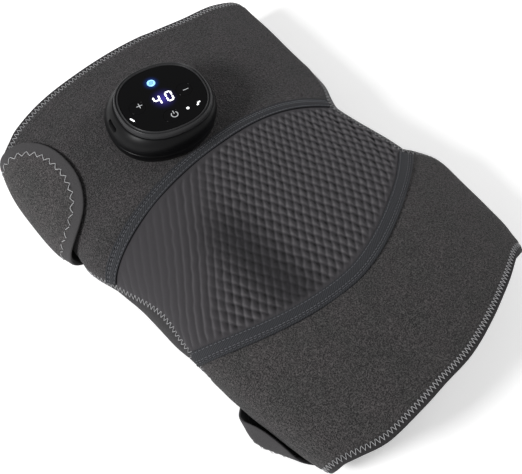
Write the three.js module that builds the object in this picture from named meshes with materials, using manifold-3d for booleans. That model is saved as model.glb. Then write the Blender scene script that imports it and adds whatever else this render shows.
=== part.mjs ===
// Heated knee massager: a closed neoprene wrap lying on its back, with its control unit on the thigh.
// Millimetres, +Z up, +X across the leg, +Y towards the thigh.
// The fabric pieces are cut from one surface, a flattened tube round the leg. A place on it is a share
// round the leg and a length along it. Share 0 is the crown, 1 and -1 are the two sides, 2 is the back.

import * as THREE from 'three';
import { mergeVertices } from 'three/addons/utils/BufferGeometryUtils.js';
import Module from 'manifold-3d';

const wasm = await Module();
wasm.setup();

// Leg tube, measured on the inner face of the outer fabric
const THIGH_HALF_WIDTH = 94;
const THIGH_FLARE = 1.6;
const CALF_TAPER = 15;
const TAPER_START = 40;
const TAPER_LENGTH = 180;
const CROWN_RISE = 31.5;
const CALF_DROP = 5;
const CALF_DROP_START = 0;
const CALF_DROP_LENGTH = 140;
const THIGH_DROP = 4;
const THIGH_DROP_START = 50;
const FOLD_RISE = 10;
const FOLD_WIDTH = 14;
const ARCH_POWER = 2.3;
const WRAP_TURN_SHARE = -0.123;
const RIGHT_WAIST = 12;
const LEFT_WAIST = 2;
const WAIST_PLACE = 28;
const WAIST_LENGTH = 42;

// Outline of the wrap
const THIGH_EDGE = 141.5;
const CALF_EDGE = -139.5;
const CALF_BOW = 19;
const CALF_SKEW = 10;
const KNEE_EDGE_SHARE = 0.877;
const CUTOUT_SHARE = 0.2;
const WING_END_SHARE = 1.26;
const LEFT_WING_SHARE = 1.62;
const RIGHT_WING_SHARE = 1.46;
const UPPER_CUTOUT = 62;
const LOWER_CUTOUT = { left: -50, right: -40 };

// Seams of the knee panel
const UPPER_SEAM = 45.5;
const UPPER_SEAM_SAG = { left: 19, right: 22 };
const LOWER_SEAM = -65;
const LOWER_SEAM_SAG = { left: 35, right: 41.5 };
const LOWER_SEAM_POWER = { left: 2, right: 1.7 };
const TAPE_WIDTH = 6.5;
const TAPE_THICKNESS = 0.9;

// Layers
const FABRIC = 3;
const LINING = 1.2;
const FILM = 0.6;
const HOOK_PAD = 0.7;
const GAP = 0.3;

// Straps and their tabs
const STRAP_START_SHARE = 1.3;
const UPPER_STRAP_LOW = 58;
const UPPER_STRAP_HIGH = 139;
const UPPER_FOLD_SHARE = 3.02;
const UPPER_TIP_SHARE = 3.33;
const LOWER_STRAP_LOW = -124;
const LOWER_STRAP_HIGH = -60;
const LOWER_FOLD_SHARE = 2.78;
const LOWER_TIP_SHARE = 3.01;
const LOWER_STRAP_TAPER = 16;
const STRAP_SLACK = 7;
const SLACK_SHARES = { from: 2.76, most: 2.96, to: 3.24, atHighEdge: 0.35 };
const TAB_POWER = 2.2;
const TAB_BORDER = 6;
const TAB_THICKNESS = 2;

// Heating film and its lead
const FILM_HALF_SHARE = 0.7;
const FILM_HIGH = 30;
const FILM_LOW = -34;
const LEAD_WIDTH = 11;

// Massage pods
const POD_SHARE = 0.4;
const POD_PLACE = -4;
const POD_RADIUS = 15;
const POD_DEPTH = 11;
const POD_WALL = 1.2;
const POD_SEAT = 1.35;
const POD_ROUND = 4;
const MOTOR_RADIUS = 3.3;
const MOTOR_LENGTH = 12;
const SHAFT_RADIUS = 0.75;
const WEIGHT_LENGTH = 4;
const CRADLE_WIDTH = 4;
const CRADLE_LENGTH = 7;

// Overheat cut-off and temperature sensor, sunk in the knee panel
const CUTOFF_SIZE = { across: 11, along: 5, deep: 1.4 };
const CUTOFF_PLACE = -18;
const SENSOR_SIZE = { across: 4, along: 3, deep: 1.2 };
const SENSOR_PLACE = 12;

// Control unit
const UNIT_SHARE = -0.157;
const UNIT_TO_TAPE = 2.85;
const UNIT_TURN_DEGREES = -15;
const UNIT_HEIGHT = 21.5;
const BODY_HALF = { across: 31.2, along: 29.6 };
const BASE_INSET = 3;
const BODY_POWER = 2.15;
const BODY_WALL = 2;
const FLOOR_TOP = 2.5;
const PARTING_HEIGHT = 7;
const LIP_THICKNESS = 1;
const LIP_DEPTH = 2;
const SHOULDER_WIDTH = 2.8;
const GLASS_POWER = 2.3;
const GLASS_THICKNESS = 1.2;
const GLASS_SINK = 0.5;
const RIM_WIDTH = 4;
const RIM_RIDGE = 0.8;
const RIM_LEDGE = 1.4;
const SHELF_WIDTH = 4.4;
const SHELF_THICKNESS = 1.2;

// Keys and their switches
const KEY_RADIUS = 4.5;
const KEY_FLANGE = 0.7;
const KEY_STEM_RADIUS = 1.5;
const KEY_TRAVEL = 0.4;
const SWITCH_SIZE = 4.6;
const KEY_SHARES = {
  plus: { across: -0.593, along: -0.045 },
  minus: { across: 0.593, along: -0.045 },
  power: { across: 0, along: -0.655 },
};

// Inside the control unit
const BOARD_HEIGHT = 10.1;
const BOARD_THICKNESS = 1.6;
const BOARD_INSET = 3.7;
const POST_RADIUS = 2.6;
const BATTERY_INSET = { across: 15.2, along: 16.6 };
const BATTERY_HIGH = 7;
const BATTERY_ROUND = 2;
const DISPLAY_CLEARANCE = 1;
const DISPLAY_MARGIN = 6.4;
const DISPLAY_HIGH = 2.2;
const SOCKET_SIZE = { wide: 9, deep: 7.4, high: 3.3 };
const SOCKET_WALL = 0.4;
const SOCKET_INSET = 0.9;
const TONGUE_SIZE = { wide: 6.6, high: 0.7 };

// Clamp under the fabric
const NECK_RADIUS = 8;
const NECK_BORE = 2.2;
const CLAMP_RADIUS = 13;
const CLAMP_THICKNESS = 1.2;
const CLAMP_SINK = 0.4;
const CLAMP_SCREW_CIRCLE = 5;
const SCREW_RADIUS = 0.8;
const SCREW_HEAD_RADIUS = 1.6;
const SCREW_HEAD_HEIGHT = 0.8;
const SCREW_LENGTH = 3.4;

// Facets and shares: a full round is four quarters
const WHOLE_ROUND = 4;
const ROUND_SIDES = 24;
const OVAL_SIDES = 44;
const POD_SIDES = 32;
const KEY_SIDES = 28;
const SMALL_SIDES = 14;
const CORNER_SIDES = 4;
const TABLE_STEPS = 240;
const MERGE_DISTANCE = 0.0001;
const OVERRUN = 1;
const ARCH_SHARES = [
  0, 0.09, 0.18, 0.27, 0.36, 0.45, 0.54, 0.62, 0.69, 0.75, 0.8, 0.845, 0.885, 0.925, 0.965, 1,
];
const BACK_SHARES = [1.024, 1.048, 1.072, 1.096, 1.12, 1.144, 1.168, 1.19, 1.5, 1.75, 2];
const TAB_SHARES = [0.22, 0.42, 0.6, 0.75, 0.87, 0.95, 0.985, 0.998];
const CUTOUT_SHARES = [0.04, 0.14, 0.32, 0.6, 1];
const ROUND_SHARES = [0, 0.25, 0.5, 0.75, 1];
const LEAST_STEP_SHARE = 0.008;

const RIGHT_ANGLE = Math.PI / 2;
const clamp = THREE.MathUtils.clamp;
const lerp = THREE.MathUtils.lerp;

// Solids

// Closed body of a geometry: merged corners, no flat triangles, faces out
function closed(source) {
  const bare = source.clone();
  bare.deleteAttribute('normal');
  bare.deleteAttribute('uv');
  const merged = mergeVertices(bare, MERGE_DISTANCE);
  const place = merged.attributes.position;
  const corner = (i) => new THREE.Vector3().fromBufferAttribute(place, i);
  const kept = [];
  let volume = 0;
  for (let i = 0; i < merged.index.count; i += 3) {
    const [a, b, c] = [0, 1, 2].map((k) => merged.index.getX(i + k));
    if (a === b || b === c || c === a) continue;
    kept.push(a, b, c);
    volume += corner(a).dot(corner(b).cross(corner(c)));
  }
  const faces = volume < 0 ? kept.reverse() : kept;
  const result = new THREE.BufferGeometry();
  result.setAttribute('position', place.clone());
  result.setIndex(faces);
  return result;
}

function solidOf(source) {
  const geometry = closed(source);
  return new wasm.Manifold(new wasm.Mesh({
    numProp: 3,
    vertProperties: new Float32Array(geometry.attributes.position.array),
    triVerts: new Uint32Array(geometry.index.array),
  }));
}

function geometryOf(solid) {
  const mesh = solid.getMesh();
  const result = new THREE.BufferGeometry();
  result.setAttribute('position', new THREE.BufferAttribute(new Float32Array(mesh.vertProperties), 3));
  result.setIndex(new THREE.BufferAttribute(new Uint32Array(mesh.triVerts), 1));
  return result;
}

function cut(body, ...tools) {
  return geometryOf(tools.reduce((left, tool) => left.subtract(solidOf(tool)), solidOf(body)));
}

function join(...bodies) {
  return geometryOf(bodies.slice(1).reduce((sum, body) => sum.add(solidOf(body)), solidOf(bodies[0])));
}

// Body turned round Z from [radius, height] points
function turned(points, sides = ROUND_SIDES) {
  const profile = points.map(([radius, height]) => new THREE.Vector2(radius, height));
  return closed(new THREE.LatheGeometry(profile, sides).rotateX(RIGHT_ANGLE));
}

function rod(radius, low, high, sides = ROUND_SIDES) {
  return turned([[0, low], [radius, low], [radius, high], [0, high]], sides);
}

function block(across, along, low, high) {
  return new THREE.BoxGeometry(across, along, high - low).translate(0, 0, (low + high) / 2);
}

function ovalPoint(half, power, turn) {
  const c = Math.cos(turn);
  const s = Math.sin(turn);
  const x = half.across * Math.sign(c) * Math.abs(c) ** (2 / power);
  const y = half.along * Math.sign(s) * Math.abs(s) ** (2 / power);
  return new THREE.Vector2(x, y);
}

function grown(half, extra) {
  return { across: half.across + extra, along: half.along + extra };
}

// Ring lofted round Z: each profile entry is an oval and its height, and the profile closes on itself
function ovalRing(profile, power, sides = OVAL_SIDES) {
  const places = [];
  const faces = [];
  const count = profile.length;
  for (let i = 0; i < sides; i += 1) {
    for (const [half, height] of profile) {
      const point = ovalPoint(half, power, 2 * Math.PI * i / sides);
      places.push(point.x, point.y, height);
    }
  }
  for (let i = 0; i < sides; i += 1) {
    for (let k = 0; k < count; k += 1) {
      const here = i * count;
      const next = ((i + 1) % sides) * count;
      const up = (k + 1) % count;
      faces.push(here + k, next + k, next + up, here + k, next + up, here + up);
    }
  }
  const ring = new THREE.BufferGeometry();
  ring.setAttribute('position', new THREE.Float32BufferAttribute(places, 3));
  ring.setIndex(faces);
  return closed(ring);
}

function ovalPlate(half, power, low, high, holes = []) {
  const turns = Array.from({ length: OVAL_SIDES }, (_, i) => 2 * Math.PI * i / OVAL_SIDES);
  const outline = new THREE.Shape(turns.map((turn) => ovalPoint(half, power, turn)));
  for (const hole of holes) {
    outline.holes.push(new THREE.Path().absarc(hole.across, hole.along, hole.radius, 0, 2 * Math.PI, true));
  }
  const plate = new THREE.ExtrudeGeometry(outline, {
    depth: high - low,
    bevelEnabled: false,
    curveSegments: ROUND_SIDES / 2,
  });
  return plate.translate(0, 0, low);
}

function roundedRectangle(across, along, round) {
  const x = across / 2;
  const y = along / 2;
  const outline = new THREE.Shape();
  outline.moveTo(-x + round, -y);
  outline.lineTo(x - round, -y);
  outline.absarc(x - round, -y + round, round, -RIGHT_ANGLE, 0);
  outline.absarc(x - round, y - round, round, 0, RIGHT_ANGLE);
  outline.absarc(-x + round, y - round, round, RIGHT_ANGLE, 2 * RIGHT_ANGLE);
  outline.absarc(-x + round, -y + round, round, 2 * RIGHT_ANGLE, 3 * RIGHT_ANGLE);
  return outline;
}

function roundedBlock(across, along, round, low, high) {
  const outline = roundedRectangle(across, along, round);
  const solid = new THREE.ExtrudeGeometry(outline, {
    depth: high - low,
    bevelEnabled: false,
    curveSegments: CORNER_SIDES,
  });
  return solid.translate(0, 0, low);
}

// Leg tube

// Turns a curve's angle table into a function from share of length to angle
function evenAngle(point) {
  const lengths = [0];
  let last = point(0);
  for (let i = 1; i <= TABLE_STEPS; i += 1) {
    const next = point(RIGHT_ANGLE * i / TABLE_STEPS);
    lengths.push(lengths[i - 1] + next.distanceTo(last));
    last = next;
  }
  const whole = lengths[TABLE_STEPS];
  const angleAt = (share) => {
    const target = share * whole;
    let i = 1;
    while (i < TABLE_STEPS && lengths[i] < target) i += 1;
    const part = (target - lengths[i - 1]) / (lengths[i] - lengths[i - 1]);
    return RIGHT_ANGLE * (i - 1 + part) / TABLE_STEPS;
  };
  return { whole, angleAt };
}

function archPoint(half, rise, angle) {
  const x = half * Math.sin(angle) ** (2 / ARCH_POWER);
  const z = rise * Math.max(Math.cos(angle), 0) ** (2 / ARCH_POWER);
  return new THREE.Vector2(x, z);
}

const arch = evenAngle((angle) => archPoint(THIGH_HALF_WIDTH, CROWN_RISE, angle));
const foldPoint = (angle) => new THREE.Vector2(FOLD_WIDTH * Math.cos(angle), -FOLD_RISE * Math.sin(angle));
const fold = evenAngle(foldPoint);
const FLAT_LENGTH = THIGH_HALF_WIDTH - FOLD_WIDTH;
const FOLD_SHARE = fold.whole / (fold.whole + FLAT_LENGTH);
const REST_OFFSET = 2 * FABRIC + GAP;
const WIDEST_HEIGHT = REST_OFFSET + FOLD_RISE;

function halfWidth(y, side) {
  const calf = Math.max(TAPER_START - y, 0) / TAPER_LENGTH;
  const thigh = Math.max(y - TAPER_START, 0) / (THIGH_EDGE - TAPER_START);
  const away = (y - WAIST_PLACE) / WAIST_LENGTH;
  const waist = (side < 0 ? LEFT_WAIST : RIGHT_WAIST) * Math.exp(-away * away);
  return THIGH_HALF_WIDTH + THIGH_FLARE * thigh - CALF_TAPER * calf ** 3 - waist;
}

function crownRise(y) {
  const calf = Math.max(CALF_DROP_START - y, 0) / CALF_DROP_LENGTH;
  const thigh = Math.max(y - THIGH_DROP_START, 0) / (THIGH_EDGE - THIGH_DROP_START);
  return CROWN_RISE - CALF_DROP * calf ** 2 - THIGH_DROP * thigh ** 2;
}

// Place and outward direction on the tube's section
function section(share, y) {
  const turn = share - WHOLE_ROUND * Math.round(share / WHOLE_ROUND);
  const side = turn < 0 ? -1 : 1;
  const part = Math.abs(turn);
  const half = halfWidth(y, side);
  const rise = crownRise(y);
  const place = new THREE.Vector2();
  const out = new THREE.Vector2();
  if (part <= 1) {
    place.copy(archPoint(half, rise, arch.angleAt(part)));
    out.set((place.x / half) ** (ARCH_POWER - 1) / half, (place.y / rise) ** (ARCH_POWER - 1) / rise);
  } else if (part - 1 <= FOLD_SHARE) {
    const angle = fold.angleAt((part - 1) / FOLD_SHARE);
    place.set(half - FOLD_WIDTH + FOLD_WIDTH * Math.cos(angle), -FOLD_RISE * Math.sin(angle));
    out.set(Math.cos(angle) / FOLD_WIDTH, -Math.sin(angle) / FOLD_RISE);
  } else {
    const rest = (part - 1 - FOLD_SHARE) / (1 - FOLD_SHARE);
    place.set((half - FOLD_WIDTH) * (1 - rest), -FOLD_RISE);
    out.set(0, -1);
  }
  out.normalize();
  return { x: side * place.x, z: WIDEST_HEIGHT + place.y, outX: side * out.x, outZ: out.y };
}

function skinPoint(share, y, offset) {
  const at = section(share, y);
  return new THREE.Vector3(at.x + offset * at.outX, y, at.z + offset * at.outZ);
}

// Frame on the tube: X across, Y along the leg, Z outwards
function skinFrame(share, y, offset) {
  const at = section(share, y);
  const out = new THREE.Vector3(at.outX, 0, at.outZ);
  const along = new THREE.Vector3(0, 1, 0);
  const across = new THREE.Vector3().crossVectors(along, out);
  const frame = new THREE.Matrix4().makeBasis(across, along, out);
  return frame.setPosition(skinPoint(share, y, offset));
}

// Edges of the knee panel, and the places round a side cut-out
const kneeLeft = WRAP_TURN_SHARE - KNEE_EDGE_SHARE;
const kneeRight = WRAP_TURN_SHARE + KNEE_EDGE_SHARE;
const cutoutStations = [kneeLeft, kneeRight].flatMap((edge) => {
  const away = Math.sign(edge) * CUTOUT_SHARE;
  return [edge, ...CUTOUT_SHARES.map((share) => edge + away * share)];
});

// All pieces bend at the same stations, so that one layer follows the next
const roundStations = [...ARCH_SHARES, ...BACK_SHARES]
  .flatMap((share) => [share, -share])
  .concat(cutoutStations)
  .flatMap((share) => [share, WHOLE_ROUND + share])
  .sort((a, b) => a - b);

function stations(from, to) {
  const clear = (share) => share > from + LEAST_STEP_SHARE && share < to - LEAST_STEP_SHARE;
  const inside = roundStations.filter(clear);
  const apart = inside.filter((share, i) => i === 0 || share - inside[i - 1] > LEAST_STEP_SHARE / 2);
  return [from, ...apart, to];
}

// Fabric piece between two edges that run round the leg, from its inner to its outer offset. A slack piece
// stands away sideways by its lift.
function patch({ shares, low, high, rows, inner, outer, lift = () => 0 }) {
  const places = [];
  const faces = [];
  const quad = (a, b, c, d) => faces.push(a, b, c, a, c, d);
  for (const share of shares) {
    for (let j = 0; j <= rows; j += 1) {
      const y = lerp(low(share), high(share), j / rows);
      const away = new THREE.Vector3(Math.sign(section(share, y).x) * lift(share, y), 0, 0);
      places.push(...skinPoint(share, y, outer).add(away), ...skinPoint(share, y, inner).add(away));
    }
  }
  const top = (i, j) => 2 * (i * (rows + 1) + j);
  const under = (i, j) => top(i, j) + 1;
  const last = shares.length - 1;
  for (let i = 0; i < last; i += 1) {
    for (let j = 0; j < rows; j += 1) {
      quad(top(i, j), top(i + 1, j), top(i + 1, j + 1), top(i, j + 1));
      quad(under(i, j), under(i, j + 1), under(i + 1, j + 1), under(i + 1, j));
    }
    quad(top(i, 0), under(i, 0), under(i + 1, 0), top(i + 1, 0));
    quad(top(i, rows), top(i + 1, rows), under(i + 1, rows), under(i, rows));
  }
  for (let j = 0; j < rows; j += 1) {
    quad(top(0, j), top(0, j + 1), under(0, j + 1), under(0, j));
    quad(top(last, j), under(last, j), under(last, j + 1), top(last, j + 1));
  }
  const result = new THREE.BufferGeometry();
  result.setAttribute('position', new THREE.Float32BufferAttribute(places, 3));
  result.setIndex(faces);
  return result;
}

// Outline of the wrap

const QUARTER_LENGTH = arch.whole;
const HALF_GAP_SHARE = GAP / 2 / QUARTER_LENGTH;
const wrapShare = (share) => share - WRAP_TURN_SHARE;
const constant = (value) => () => value;

const sideOf = (share) => (wrapShare(share) < 0 ? 'left' : 'right');

function upperSeam(share) {
  const sag = UPPER_SEAM_SAG[sideOf(share)];
  return UPPER_SEAM - sag * (wrapShare(share) / KNEE_EDGE_SHARE) ** 2;
}

function lowerSeam(share) {
  const side = sideOf(share);
  const reach = Math.abs(wrapShare(share) / KNEE_EDGE_SHARE) ** LOWER_SEAM_POWER[side];
  return LOWER_SEAM + LOWER_SEAM_SAG[side] * reach;
}

function calfEdge(share) {
  const across = Math.sin(RIGHT_ANGLE * clamp(share, -1, 1));
  return CALF_EDGE + CALF_BOW * across ** 2 + CALF_SKEW * across;
}

// Edge of a side cut-out, which runs slanting from the knee to the wing
function cutoutEdge(share, seamEnd, wing) {
  const past = (Math.abs(wrapShare(share)) - KNEE_EDGE_SHARE) / CUTOUT_SHARE;
  return lerp(seamEnd, wing, clamp(past, 0, 1));
}

function upperPanelLow(share) {
  const past = Math.abs(wrapShare(share)) > KNEE_EDGE_SHARE;
  const seamEnd = UPPER_SEAM - UPPER_SEAM_SAG[sideOf(share)];
  return (past ? cutoutEdge(share, seamEnd, UPPER_CUTOUT) : upperSeam(share)) + GAP / 2;
}

function lowerPanelHigh(share) {
  const past = Math.abs(wrapShare(share)) > KNEE_EDGE_SHARE;
  const side = sideOf(share);
  const seamEnd = LOWER_SEAM + LOWER_SEAM_SAG[side];
  return (past ? cutoutEdge(share, seamEnd, LOWER_CUTOUT[side]) : lowerSeam(share)) - GAP / 2;
}

// Finishes

function finish(color, roughness, metalness = 0) {
  return new THREE.MeshStandardMaterial({ color, roughness, metalness });
}

const velour = () => finish(0x403d3d, 0.95);
const knit = () => finish(0x4b494c, 0.8);
const tape = () => finish(0x3c3e44, 0.7);
const plush = () => finish(0x2e2c2d, 1);
const hook = () => finish(0x1d1d1f, 0.8);
const shellBlack = () => finish(0x232324, 0.5);
const rimGrey = () => finish(0x4a4a4b, 0.35, 0.2);
const gloss = () => finish(0x050506, 0.08);
const steel = () => finish(0xb4b4b8, 0.3, 0.9);

function part(name, geometry, material) {
  geometry.computeVertexNormals();
  const mesh = new THREE.Mesh(geometry, material);
  mesh.name = name;
  return mesh;
}

// Fabric front

const CLAMP_HIGH = CLAMP_SINK + CLAMP_THICKNESS;

// The control unit sits level on the crown beside the upper tape, turned a little from the leg's line
const UNIT_PLACE = UPPER_SEAM + TAPE_WIDTH / 2 + UNIT_TO_TAPE + BODY_HALF.along - BASE_INSET;
const unitTurn = THREE.MathUtils.degToRad(UNIT_TURN_DEGREES);
const unitFrame = new THREE.Matrix4().makeRotationZ(unitTurn);
unitFrame.setPosition(skinPoint(UNIT_SHARE, UNIT_PLACE, 0));

function upperPanelSheet(inner, outer) {
  return patch({
    shares: stations(-WING_END_SHARE + HALF_GAP_SHARE, WING_END_SHARE - HALF_GAP_SHARE),
    low: upperPanelLow,
    high: constant(THIGH_EDGE),
    rows: 6,
    inner,
    outer,
  });
}

function upperFrontPanel() {
  const sheet = upperPanelSheet(0, FABRIC);
  const neckHole = rod(NECK_RADIUS + GAP, -OVERRUN, FABRIC + OVERRUN).applyMatrix4(unitFrame);
  const clampRecess = rod(CLAMP_RADIUS + GAP, -FABRIC, CLAMP_HIGH + GAP).applyMatrix4(unitFrame);
  return part('upper_front_panel', cut(sheet, neckHole, clampRecess), velour());
}

function lowerFrontPanel() {
  const sheet = patch({
    shares: stations(-WING_END_SHARE + HALF_GAP_SHARE, WING_END_SHARE - HALF_GAP_SHARE),
    low: calfEdge,
    high: lowerPanelHigh,
    rows: 5,
    inner: 0,
    outer: FABRIC,
  });
  return part('lower_front_panel', sheet, velour());
}

function wing(name, from, to, low, high) {
  const sheet = patch({
    shares: stations(from + HALF_GAP_SHARE, to - HALF_GAP_SHARE),
    low,
    high,
    rows: 3,
    inner: 0,
    outer: FABRIC,
  });
  return part(name, sheet, velour());
}

function recess(size, along) {
  const frame = skinFrame(WRAP_TURN_SHARE, along, 0);
  const room = block(size.across + 2 * GAP, size.along + 2 * GAP, -OVERRUN, size.deep + GAP);
  return room.applyMatrix4(frame);
}

function kneePanel() {
  const sheet = patch({
    shares: stations(kneeLeft, kneeRight),
    low: (share) => lowerSeam(share) + GAP / 2,
    high: (share) => upperSeam(share) - GAP / 2,
    rows: 5,
    inner: 0,
    outer: FABRIC,
  });
  const cutoff = recess(CUTOFF_SIZE, CUTOFF_PLACE);
  const sensor = recess(SENSOR_SIZE, SENSOR_PLACE);
  return part('knee_panel', cut(sheet, cutoff, sensor), knit());
}

function seamTape(name, seam) {
  const strip = patch({
    shares: stations(kneeLeft, kneeRight),
    low: (share) => seam(share) - TAPE_WIDTH / 2,
    high: (share) => seam(share) + TAPE_WIDTH / 2,
    rows: 1,
    inner: FABRIC + GAP,
    outer: FABRIC + GAP + TAPE_THICKNESS,
  });
  return part(name, strip, tape());
}

// Straps

const STRAP_INNER = FABRIC + GAP;
const STRAP_OUTER = STRAP_INNER + FABRIC;

// The upper strap stands off the wrap where it comes round the side, most at its knee end
function upperSlack(share, y) {
  const { from, most, to, atHighEdge } = SLACK_SHARES;
  const round = share < most ? (share - from) / (most - from) : (to - share) / (to - most);
  const along = clamp((UPPER_STRAP_HIGH - y) / (UPPER_STRAP_HIGH - UPPER_STRAP_LOW), 0, 1);
  return STRAP_SLACK * lerp(atHighEdge, 1, along) * THREE.MathUtils.smoothstep(round, 0, 1);
}

// Strap across the back, narrower by its taper where it starts
function strap(name, foldShare, low, high, lift, taper = 0) {
  const drawnIn = (share) => taper * clamp((2 - share) / (2 - STRAP_START_SHARE), 0, 1);
  const band = patch({
    shares: stations(STRAP_START_SHARE, foldShare - HALF_GAP_SHARE),
    low: (share) => low + drawnIn(share),
    high: constant(high),
    rows: 3,
    inner: STRAP_INNER,
    outer: STRAP_OUTER,
    lift,
  });
  return part(name, band, velour());
}

// Sheet with a rounded tip, drawn in from its outline by a border
function tipped(foldShare, tipShare, low, high, border, inner, outer, lift) {
  const from = foldShare + HALF_GAP_SHARE + border / QUARTER_LENGTH;
  const to = tipShare - border / QUARTER_LENGTH;
  const middle = (low + high) / 2;
  const reach = (high - low) / 2 - border;
  const halfAt = (share) => {
    const t = clamp((share - from) / (to - from), 0, 1);
    return reach * (1 - t ** TAB_POWER) ** (1 / TAB_POWER);
  };
  const tips = TAB_SHARES.map((share) => lerp(from, to, share));
  const end = tips[tips.length - 1];
  return patch({
    shares: [...new Set([...stations(from, end), ...tips])].sort((a, b) => a - b),
    low: (share) => middle - halfAt(share),
    high: (share) => middle + halfAt(share),
    rows: 3,
    inner,
    outer,
    lift,
  });
}

function tab(side, foldShare, tipShare, low, high, lift) {
  const sheetInner = STRAP_OUTER - TAB_THICKNESS;
  const sheet = tipped(foldShare, tipShare, low, high, 0, sheetInner, STRAP_OUTER, lift);
  const padOuter = STRAP_INNER + HOOK_PAD;
  const pad = tipped(foldShare, tipShare, low, high, TAB_BORDER, STRAP_INNER, padOuter, lift);
  return [part(`${side}_strap_tab`, sheet, velour()), part(`${side}_hook_pad`, pad, hook())];
}

// Inner layers

const podShares = { left: WRAP_TURN_SHARE - POD_SHARE, right: WRAP_TURN_SHARE + POD_SHARE };

function podHole(side) {
  const frame = skinFrame(podShares[side], POD_PLACE, 0);
  return rod(POD_RADIUS + GAP, -POD_DEPTH, OVERRUN).applyMatrix4(frame);
}

function innerLining() {
  const outer = -FILM - 2 * GAP;
  const inset = KNEE_EDGE_SHARE - FABRIC / QUARTER_LENGTH;
  const sheet = patch({
    shares: stations(WRAP_TURN_SHARE - inset, WRAP_TURN_SHARE + inset),
    low: (share) => calfEdge(share) + FABRIC,
    high: constant(THIGH_EDGE - FABRIC),
    rows: 16,
    inner: outer - LINING,
    outer,
  });
  return part('inner_lining', cut(sheet, podHole('left'), podHole('right')), plush());
}

function heatingFilm() {
  const sheet = patch({
    shares: stations(WRAP_TURN_SHARE - FILM_HALF_SHARE, WRAP_TURN_SHARE + FILM_HALF_SHARE),
    low: constant(FILM_LOW),
    high: constant(FILM_HIGH),
    rows: 4,
    inner: -GAP - FILM,
    outer: -GAP,
  });
  return part('heating_film', cut(sheet, podHole('left'), podHole('right')), finish(0x6b4a2a, 0.6));
}

function filmLead() {
  const half = LEAD_WIDTH / 2 / QUARTER_LENGTH;
  const strip = patch({
    shares: stations(WRAP_TURN_SHARE - half, WRAP_TURN_SHARE + half),
    low: constant(FILM_HIGH + GAP),
    high: constant(UNIT_PLACE),
    rows: 3,
    inner: -GAP - FILM,
    outer: -GAP,
  });
  return part('film_lead', strip, finish(0x8a5a2b, 0.5));
}

function sunkPart(name, size, along, material) {
  const frame = skinFrame(WRAP_TURN_SHARE, along, 0);
  const mesh = part(name, block(size.across, size.along, 0, size.deep), material);
  mesh.applyMatrix4(frame);
  return mesh;
}

// Massage pods: Z of the group points at the leg

const POD_AXIS_DEPTH = POD_SEAT + POD_WALL + (POD_DEPTH - POD_SEAT - 2 * POD_WALL) / 2;

function podShell() {
  const inner = POD_RADIUS - POD_WALL;
  const round = (radius, depth, curve) => ROUND_SHARES.map((share) => {
    const angle = RIGHT_ANGLE * share;
    return [radius - curve + curve * Math.cos(angle), depth - curve + curve * Math.sin(angle)];
  });
  const outside = round(POD_RADIUS, POD_DEPTH, POD_ROUND);
  const inside = round(inner, POD_DEPTH - POD_WALL, POD_ROUND - POD_WALL).reverse();
  const profile = [[inner, POD_SEAT], [POD_RADIUS, POD_SEAT], ...outside, [0, POD_DEPTH]];
  return turned([[0, POD_DEPTH - POD_WALL], ...inside, ...profile], POD_SIDES);
}

function alongAcross(geometry, start) {
  return geometry.rotateY(RIGHT_ANGLE).translate(start, 0, POD_AXIS_DEPTH);
}

function podLid() {
  const plate = rod(POD_RADIUS - POD_WALL - GAP, POD_SEAT, POD_SEAT + POD_WALL, POD_SIDES);
  const saddle = block(CRADLE_LENGTH, 2 * CRADLE_WIDTH, POD_SEAT, POD_AXIS_DEPTH);
  saddle.translate(MOTOR_MIDDLE, 0, 0);
  const groove = alongAcross(rod(MOTOR_RADIUS + GAP, -MOTOR_LENGTH, MOTOR_LENGTH), MOTOR_MIDDLE);
  return cut(join(plate, saddle), groove);
}

const MOTOR_START = -(MOTOR_LENGTH + WEIGHT_LENGTH) / 2 - GAP;
const MOTOR_MIDDLE = MOTOR_START + MOTOR_LENGTH / 2;
const WEIGHT_START = MOTOR_START + MOTOR_LENGTH + 2 * GAP;

function motorCan() {
  const boss = 2 * SHAFT_RADIUS;
  const profile = [
    [0, 0], [MOTOR_RADIUS, 0], [MOTOR_RADIUS, MOTOR_LENGTH], [boss, MOTOR_LENGTH],
    [boss, MOTOR_LENGTH + GAP], [0, MOTOR_LENGTH + GAP],
  ];
  return alongAcross(turned(profile, ROUND_SIDES), MOTOR_START);
}

// Half disc on a round hub, off its shaft's centre
function eccentricWeight() {
  const outline = new THREE.Shape();
  outline.absarc(0, 0, MOTOR_RADIUS, 0, 2 * RIGHT_ANGLE);
  outline.lineTo(-2 * SHAFT_RADIUS, 0);
  outline.absarc(0, 0, 2 * SHAFT_RADIUS, 2 * RIGHT_ANGLE, 4 * RIGHT_ANGLE);
  const body = new THREE.ExtrudeGeometry(outline, {
    depth: WEIGHT_LENGTH,
    bevelEnabled: false,
    curveSegments: ROUND_SIDES / 2,
  });
  return alongAcross(body, WEIGHT_START);
}

function massagePod(side) {
  const pod = new THREE.Group();
  pod.add(
    part(`${side}_pod_shell`, podShell(), shellBlack()),
    part(`${side}_pod_lid`, podLid(), shellBlack()),
    part(`${side}_motor_can`, motorCan(), steel()),
    part(`${side}_motor_weight`, eccentricWeight(), steel()),
  );
  const inwards = new THREE.Matrix4().makeRotationX(2 * RIGHT_ANGLE);
  pod.applyMatrix4(skinFrame(podShares[side], POD_PLACE, 0).multiply(inwards));
  return pod;
}

// Control unit: heights are measured from the fabric's outer face under its middle

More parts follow.
